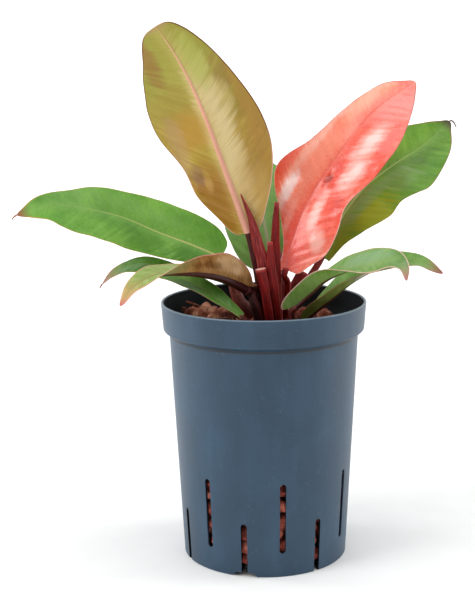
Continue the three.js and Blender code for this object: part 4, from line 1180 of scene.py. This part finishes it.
# ---------- looks ----------
# A zone has its share along the midrib, its offset, its spread each way, its tone and its depth. A band
# has the shares where it starts and ends, its tone and its depth.
PLAIN_LEAF = dict(
    upper_bands=[], lower_bands=[], zones=[], streaks=0.5, ragged=5.0, glow=0.35, veins=0.25, vein_step=2.2,
    rib_narrow=0.45, rib_fade=0.6, rib_shade="#3a0f10", rib_strength=1.0, edge_width=0.55,
    edge_strength=0.85, tip_start=0.93, tip_strength=0.9, specks=0.25, speck="#5b4a22", roughness=0.4,
    coat=0.05, coat_roughness=0.25, specular=0.3,
)
LEAF_LOOKS = {
    "gold": dict(
        upper=("#6f7a2c", "#8f9440", "#b3b062"), lower=("#8f6c22", "#ab8834", "#c2a250"),
        lower_bands=[(0.35, 0.85, "#939a38", 0.7)], pale="#d2b670", glow=0.25,
        zones=[
            (0.45, -6, 0.5, 14, "#dcc690", 0.9), (0.16, -16, 0.22, 16, "#c09a56", 0.6),
            (0.55, -31, 0.5, 8, "#ac7e34", 0.6), (0.7, -21, 0.1, 6, "#8f6c34", 0.5),
            (0.5, 16, 0.14, 22, "#b08428", 0.8), (0.36, 12, 0.09, 16, "#a8962f", 0.7),
            # the pale zone at 0.47 by the margin is a painted sheen
            (0.18, 14, 0.24, 18, "#9c6818", 0.9), (0.47, 29, 0.16, 9, "#b4946c", 0.45),
            (0.3, 22, 0.06, 6, "#8d7262", 0.4), (0.27, 16, 0.07, 4, "#c8a45c", 0.4),
            (0.9, 22, 0.2, 9, "#93652c", 0.7), (0.8, -8, 0.16, 9, "#a9b048", 0.7),
            (0.68, 18, 0.07, 16, "#99852f", 0.6), (0.6, -18, 0.1, 6, "#d0b878", 0.5),
        ],
        vein="#8a6528", veins=0.15, vein_step=2.6, rib_upper="#a89a58", rib_lower="#e2a48c",
        rib_shade="#c47c68", rib_fade=0.1, edge="#6e3f22", edge_base="#e0a49a", edge_width=1.1,
        edge_strength=1.0, tip="#b0806a", tip_strength=0.5, tip_start=0.97, streaks=0.35, ragged=3.4,
        roughness=0.42, coat=0.1,
    ),
    "coral": dict(
        upper=("#e2402e", "#f0583f", "#f87c62"), lower=("#c46a50", "#d98a6c", "#e8aa8c"),
        zones=[
            # painted light over the left half, which leans away from the lamps
            (0.5, -13, 0.4, 16, "#ff9274", 0.85), (0.5, -20, 0.3, 5, "#ffb49e", 0.7),
            (0.36, -14, 0.14, 7, "#ff8a70", 0.6),
            (0.86, 12, 0.2, 16, "#e87c70", 0.9), (0.84, -12, 0.2, 9, "#eda684", 0.85),
            # painted highlights of the gloss: the palest zones here and on the next three lines
            (0.6, 16, 0.17, 10, "#ffb8aa", 0.8), (0.63, 16, 0.1, 5, "#ffe0d8", 0.55),
            (0.47, 20, 0.11, 9, "#ffb4a6", 0.75), (0.48, 20, 0.07, 4, "#ffe0d8", 0.55),
            (0.3, -17, 0.1, 5, "#ffe0da", 0.85), (0.2, -8, 0.12, 3, "#ff9a86", 0.5),
            (0.15, 19, 0.06, 7, "#ffbcb0", 0.8), (0.27, 10, 0.12, 5, "#ffb5a8", 0.75),
            # painted shade in the dimple at 0.41
            (0.41, 5, 0.035, 4, "#a8201a", 0.9), (0.34, 22, 0.05, 5, "#cc3529", 0.6),
            (0.1, 2, 0.12, 12, "#e8392a", 0.6), (0.7, 27, 0.2, 5, "#e2574b", 0.6),
        ],
        pale="#f4705c", glow=0.15, vein="#d8463e", veins=0.2, vein_step=1.7, rib_upper="#e2625c",
        rib_lower="#b04a48", rib_shade="#d8504a", rib_narrow=0.3, rib_fade=0.3, rib_strength=0.75,
        edge="#b03a30", edge_base="#f6c9c0", tip="#c08070", tip_strength=0.3, tip_start=0.97,
        streaks=0.3, ragged=2.3, roughness=0.28, coat=0.6, coat_roughness=0.14, specks=0.05, specular=0.5,
    ),
    "right_green": dict(
        upper=("#4a7a1a", "#649826", "#7eae3a"), lower=("#6f8a48", "#8ba060", "#a8b880"),
        zones=[
            (0.3, 20, 0.22, 15, "#a4ae24", 0.9), (0.12, 8, 0.16, 14, "#84901a", 0.85),
            (0.45, 8, 0.3, 6, "#86a468", 0.6), (0.75, 20, 0.2, 8, "#5c9c2c", 0.5),
            (0.28, 3, 0.22, 4, "#90905a", 0.5), (0.6, 16, 0.14, 8, "#88a864", 0.5),
        ],
        pale="#86a45a", glow=0.2, vein="#7fa250", rib_upper="#bccb88", rib_lower="#9a8060", edge="#8f5a34",
        rib_shade="#8a9a50", tip="#3a1c16", streaks=0.4, roughness=0.42, rib_fade=0.3, rib_narrow=0.35,
        specks=0.5, speck="#3f4a1a",
    ),
    "back_green": dict(
        upper=("#4a7a2c", "#649040", "#7ea45a"), lower=("#6f8a48", "#8ba060", "#a8b880"),
        pale="#7a9a62", vein="#6c9450", rib_upper="#9aa07c", rib_lower="#9a8060", edge="#a08868",
        tip="#6a3a2a", streaks=0.4, roughness=0.45, rib_fade=0.1, rib_narrow=0.7,
    ),
    "left_green": dict(
        upper=("#437a1c", "#589026", "#74a63e"), lower=("#7f9a50", "#98ae68", "#b2c288"),
        zones=[(0.12, -12, 0.16, 14, "#3f7a14", 0.8), (0.5, 12, 0.4, 8, "#7aa254", 0.4)],
        pale="#83a85a", glow=0.25, vein="#6f9c48", veins=0.16, rib_upper="#bcc070", rib_lower="#a88a60",
        rib_narrow=0.3, edge="#b08838", tip="#8a4a34", streaks=0.3, roughness=0.42,
    ),
    "bronze": dict(
        upper=("#6c8636", "#869e4e", "#a4b472"), lower=("#744a20", "#a2703c", "#cc9e66"),
        zones=[(0.2, -13, 0.12, 7, "#d8b282", 0.8), (0.34, -10, 0.12, 4, "#6c3e18", 0.7)],
        lower_bands=[(0.4, 0.65, "#86985a", 0.85)], upper_bands=[(0.75, 0.97, "#b4803c", 0.8)],
        pale="#9a7444", glow=0.15, vein="#4a2c10", veins=0.2, rib_upper="#a07848", rib_lower="#3c080c",
        rib_shade="#240508", rib_fade=0.2, edge="#d88c80", edge_width=1.0, tip="#b04840", streaks=0.4,
    ),
    "low_left": dict(
        upper=("#356414", "#4a8022", "#649a3c"), lower=("#7c9c58", "#94b070", "#acc28c"),
        pale="#84a85e", vein="#6f9c48", rib_upper="#7ca250", rib_lower="#5a2420", edge="#b8906a",
        tip="#8a4a34", tip_start=0.8, streaks=0.3, roughness=0.36,
    ),
    "front_right": dict(
        upper=("#4f7a2e", "#6a9244", "#86a862"), lower=("#4f7c26", "#6a943c", "#8cac62"),
        zones=[(0.62, -6, 0.2, 9, "#86a884", 0.6), (0.25, 0, 0.2, 14, "#84a04e", 0.5)],
        pale="#84a460", vein="#84a45c", rib_upper="#84a05c", rib_lower="#4a1214", edge="#e2b4a8",
        edge_width=1.1, tip="#a04a44", tip_start=0.88, streaks=0.35, roughness=0.4,
    ),
    "low_right": dict(
        upper=("#4a7c24", "#62943a", "#80ac58"), lower=("#4c581e", "#66722e", "#848e46"),
        pale="#7a9048", vein="#76944c", rib_upper="#84a05c", rib_lower="#4a1214", edge="#b06c58",
        tip="#8a3a34", tip_start=0.85, streaks=0.35, roughness=0.4,
    ),
}


# the dark, middle and light tones of a stalk and of its rims, a painted highlight along its sides, then its
# roughness and its coat
STALK_LOOKS = {
    "red": ("#400203", "#7c0809", "#a81c1c", "#bc4a48", 0.4, 0.06),
    "maroon": ("#1e0304", "#420a0b", "#74231f", "#92443e", 0.4, 0.06),
    "spear": ("#400506", "#7c1012", "#bc504a", "#9c2c2a", 0.4, 0.06),
    "black_red": ("#140304", "#280506", "#4a0e10", "#5a1a1a", 0.4, 0.06),
    "brown": ("#2e0908", "#561612", "#8c4238", "#9c544a", 0.45, 0.05),
    "mottled": ("#3a0e0a", "#7c2a20", "#b8705c", "#8a4034", 0.42, 0.06),
}


# ---------- camera, light and floor, in metres ----------
CAMERA_PLACE = (0, -0.9325, 0.3713)
CAMERA_TARGET = (-0.019, 0, 0.190)
CAMERA_ROLL = math.radians(-0.6)
CAMERA_LENS = 78
MIDDLE = (0, 0, 0.2)
# name, place, what it is aimed at, size and power
SOFTBOXES = [
    ("key", (-1.35, -0.75, 1.25), MIDDLE, (0.8, 1.5), 17),
    ("rim_left", (-1.5, 0.45, 0.6), MIDDLE, (0.5, 1.4), 9),
    ("rim_right", (1.5, 0.15, 0.6), MIDDLE, (0.6, 1.5), 13),
    ("top", (0.2, -0.35, 1.9), MIDDLE, (1.3, 0.9), 8),
    ("backdrop", (0, 1.3, 1.5), (0, 3.0, 0.35), (3.0, 0.6), 45),
]


def aim(thing, target, roll=0.0):
    direction = Vector(target) - thing.location
    turned = direction.to_track_quat("-Z", "Y")
    thing.rotation_mode = "QUATERNION"
    thing.rotation_quaternion = turned @ Quaternion((0, 0, 1), roll)


def make_camera():
    camera = add_object("camera", bpy.data.cameras.new("camera"))
    camera.location = CAMERA_PLACE
    camera.data.lens = CAMERA_LENS
    camera.data.clip_start = 0.05
    aim(camera, CAMERA_TARGET, CAMERA_ROLL)
    bpy.context.scene.camera = camera


def add_softbox(name, location, target, size, power):
    light = bpy.data.lights.new(name, "AREA")
    light.shape = "RECTANGLE"
    light.size, light.size_y = size
    light.energy = power
    lamp = add_object(name, light)
    lamp.location = location
    aim(lamp, target)


def studio_world():
    """An even pale sky, dimmer at the front, where the room is dark round the camera."""
    world = bpy.data.worlds.new("studio")
    world.use_nodes = True
    tree = world.node_tree
    background = tree.nodes["Background"]
    background.inputs["Color"].default_value = (0.97, 0.98, 1.0, 1)
    direction = tree.nodes.new("ShaderNodeTexCoord")
    parts = tree.nodes.new("ShaderNodeSeparateXYZ")
    level = tree.nodes.new("ShaderNodeMapRange")
    tree.links.new(direction.outputs["Generated"], parts.inputs[0])
    tree.links.new(parts.outputs["Y"], level.inputs["Value"])
    for name, number in (("From Min", -0.9), ("From Max", 0.5), ("To Min", 0.25), ("To Max", 0.95)):
        level.inputs[name].default_value = number
    tree.links.new(level.outputs[0], background.inputs["Strength"])
    return world


def make_stage():
    """A pale floor that curves up into a low wall all round, soft boxes and an even pale sky."""
    profile = [(r, 0.0) for r in (0.4, 1.2, 2.4)] + arc((2.4, 0.6), 0.6, -75, 0, 8) + [(3.0, 0.9)]
    sides = 96
    angle = np.linspace(0, 2 * np.pi, sides, endpoint=False)
    points = [(r * math.cos(a), r * math.sin(a), z) for r, z in profile for a in angle]
    faces = [tuple(range(sides))] + [face[::-1] for face in grid_faces(len(profile), sides, closed=True)]
    mesh = mesh_from("floor", np.array(points) / MM, faces)
    mesh.materials.append(floor_material())
    mesh.shade_smooth()
    floor = add_object("floor", mesh)
    for softbox in SOFTBOXES:
        add_softbox(*softbox)
    bpy.context.scene.world = studio_world()
    bpy.context.scene.view_settings.view_transform = "Standard"


make_camera()
make_stage()
clay = clay_material("baked_clay", ("#4e2018", "#8c4a39", "#b86a54", "#e8a88e"), 0.92, 0.25)
# glossy wet clay in lighter tones: painted light on the pellets behind the slots, which lie in shade
wet_clay_painted_light = clay_material("wet_clay_painted_light", ("#7a2418", "#c0503e", "#ec7c66", "#ffc4ae"), 0.45, 0.6)
looks = {name: stalk_material(f"stalk_{name}", *look) for name, look in STALK_LOOKS.items()}
make_pot(pot_material(), inner_shade_and_dust_material())
make_fill_core(clay)
make_pellets(clay, wet_clay_painted_light)
make_stem(looks["maroon"])
root_stops = ((0.34, "#5a3a20"), (0.5, "#9c7a4c"), (0.68, "#cbb283"))
make_roots(bark_material("root_skin", 380.0, 0.65, root_stops, 0.8))
cut_face = cut_face_material()
for number, stalk in enumerate(STALKS):
    make_stalk(number, stalk, looks, cut_face)
for number, leaf in enumerate(LEAVES):
    make_blade(number, leaf)
dry_stops = ((0.34, "#35160f"), (0.5, "#6b3526"), (0.66, "#a3674d"))
make_litter(bark_material("dry_bark", 700.0, 0.7, dry_stops, 0.6))
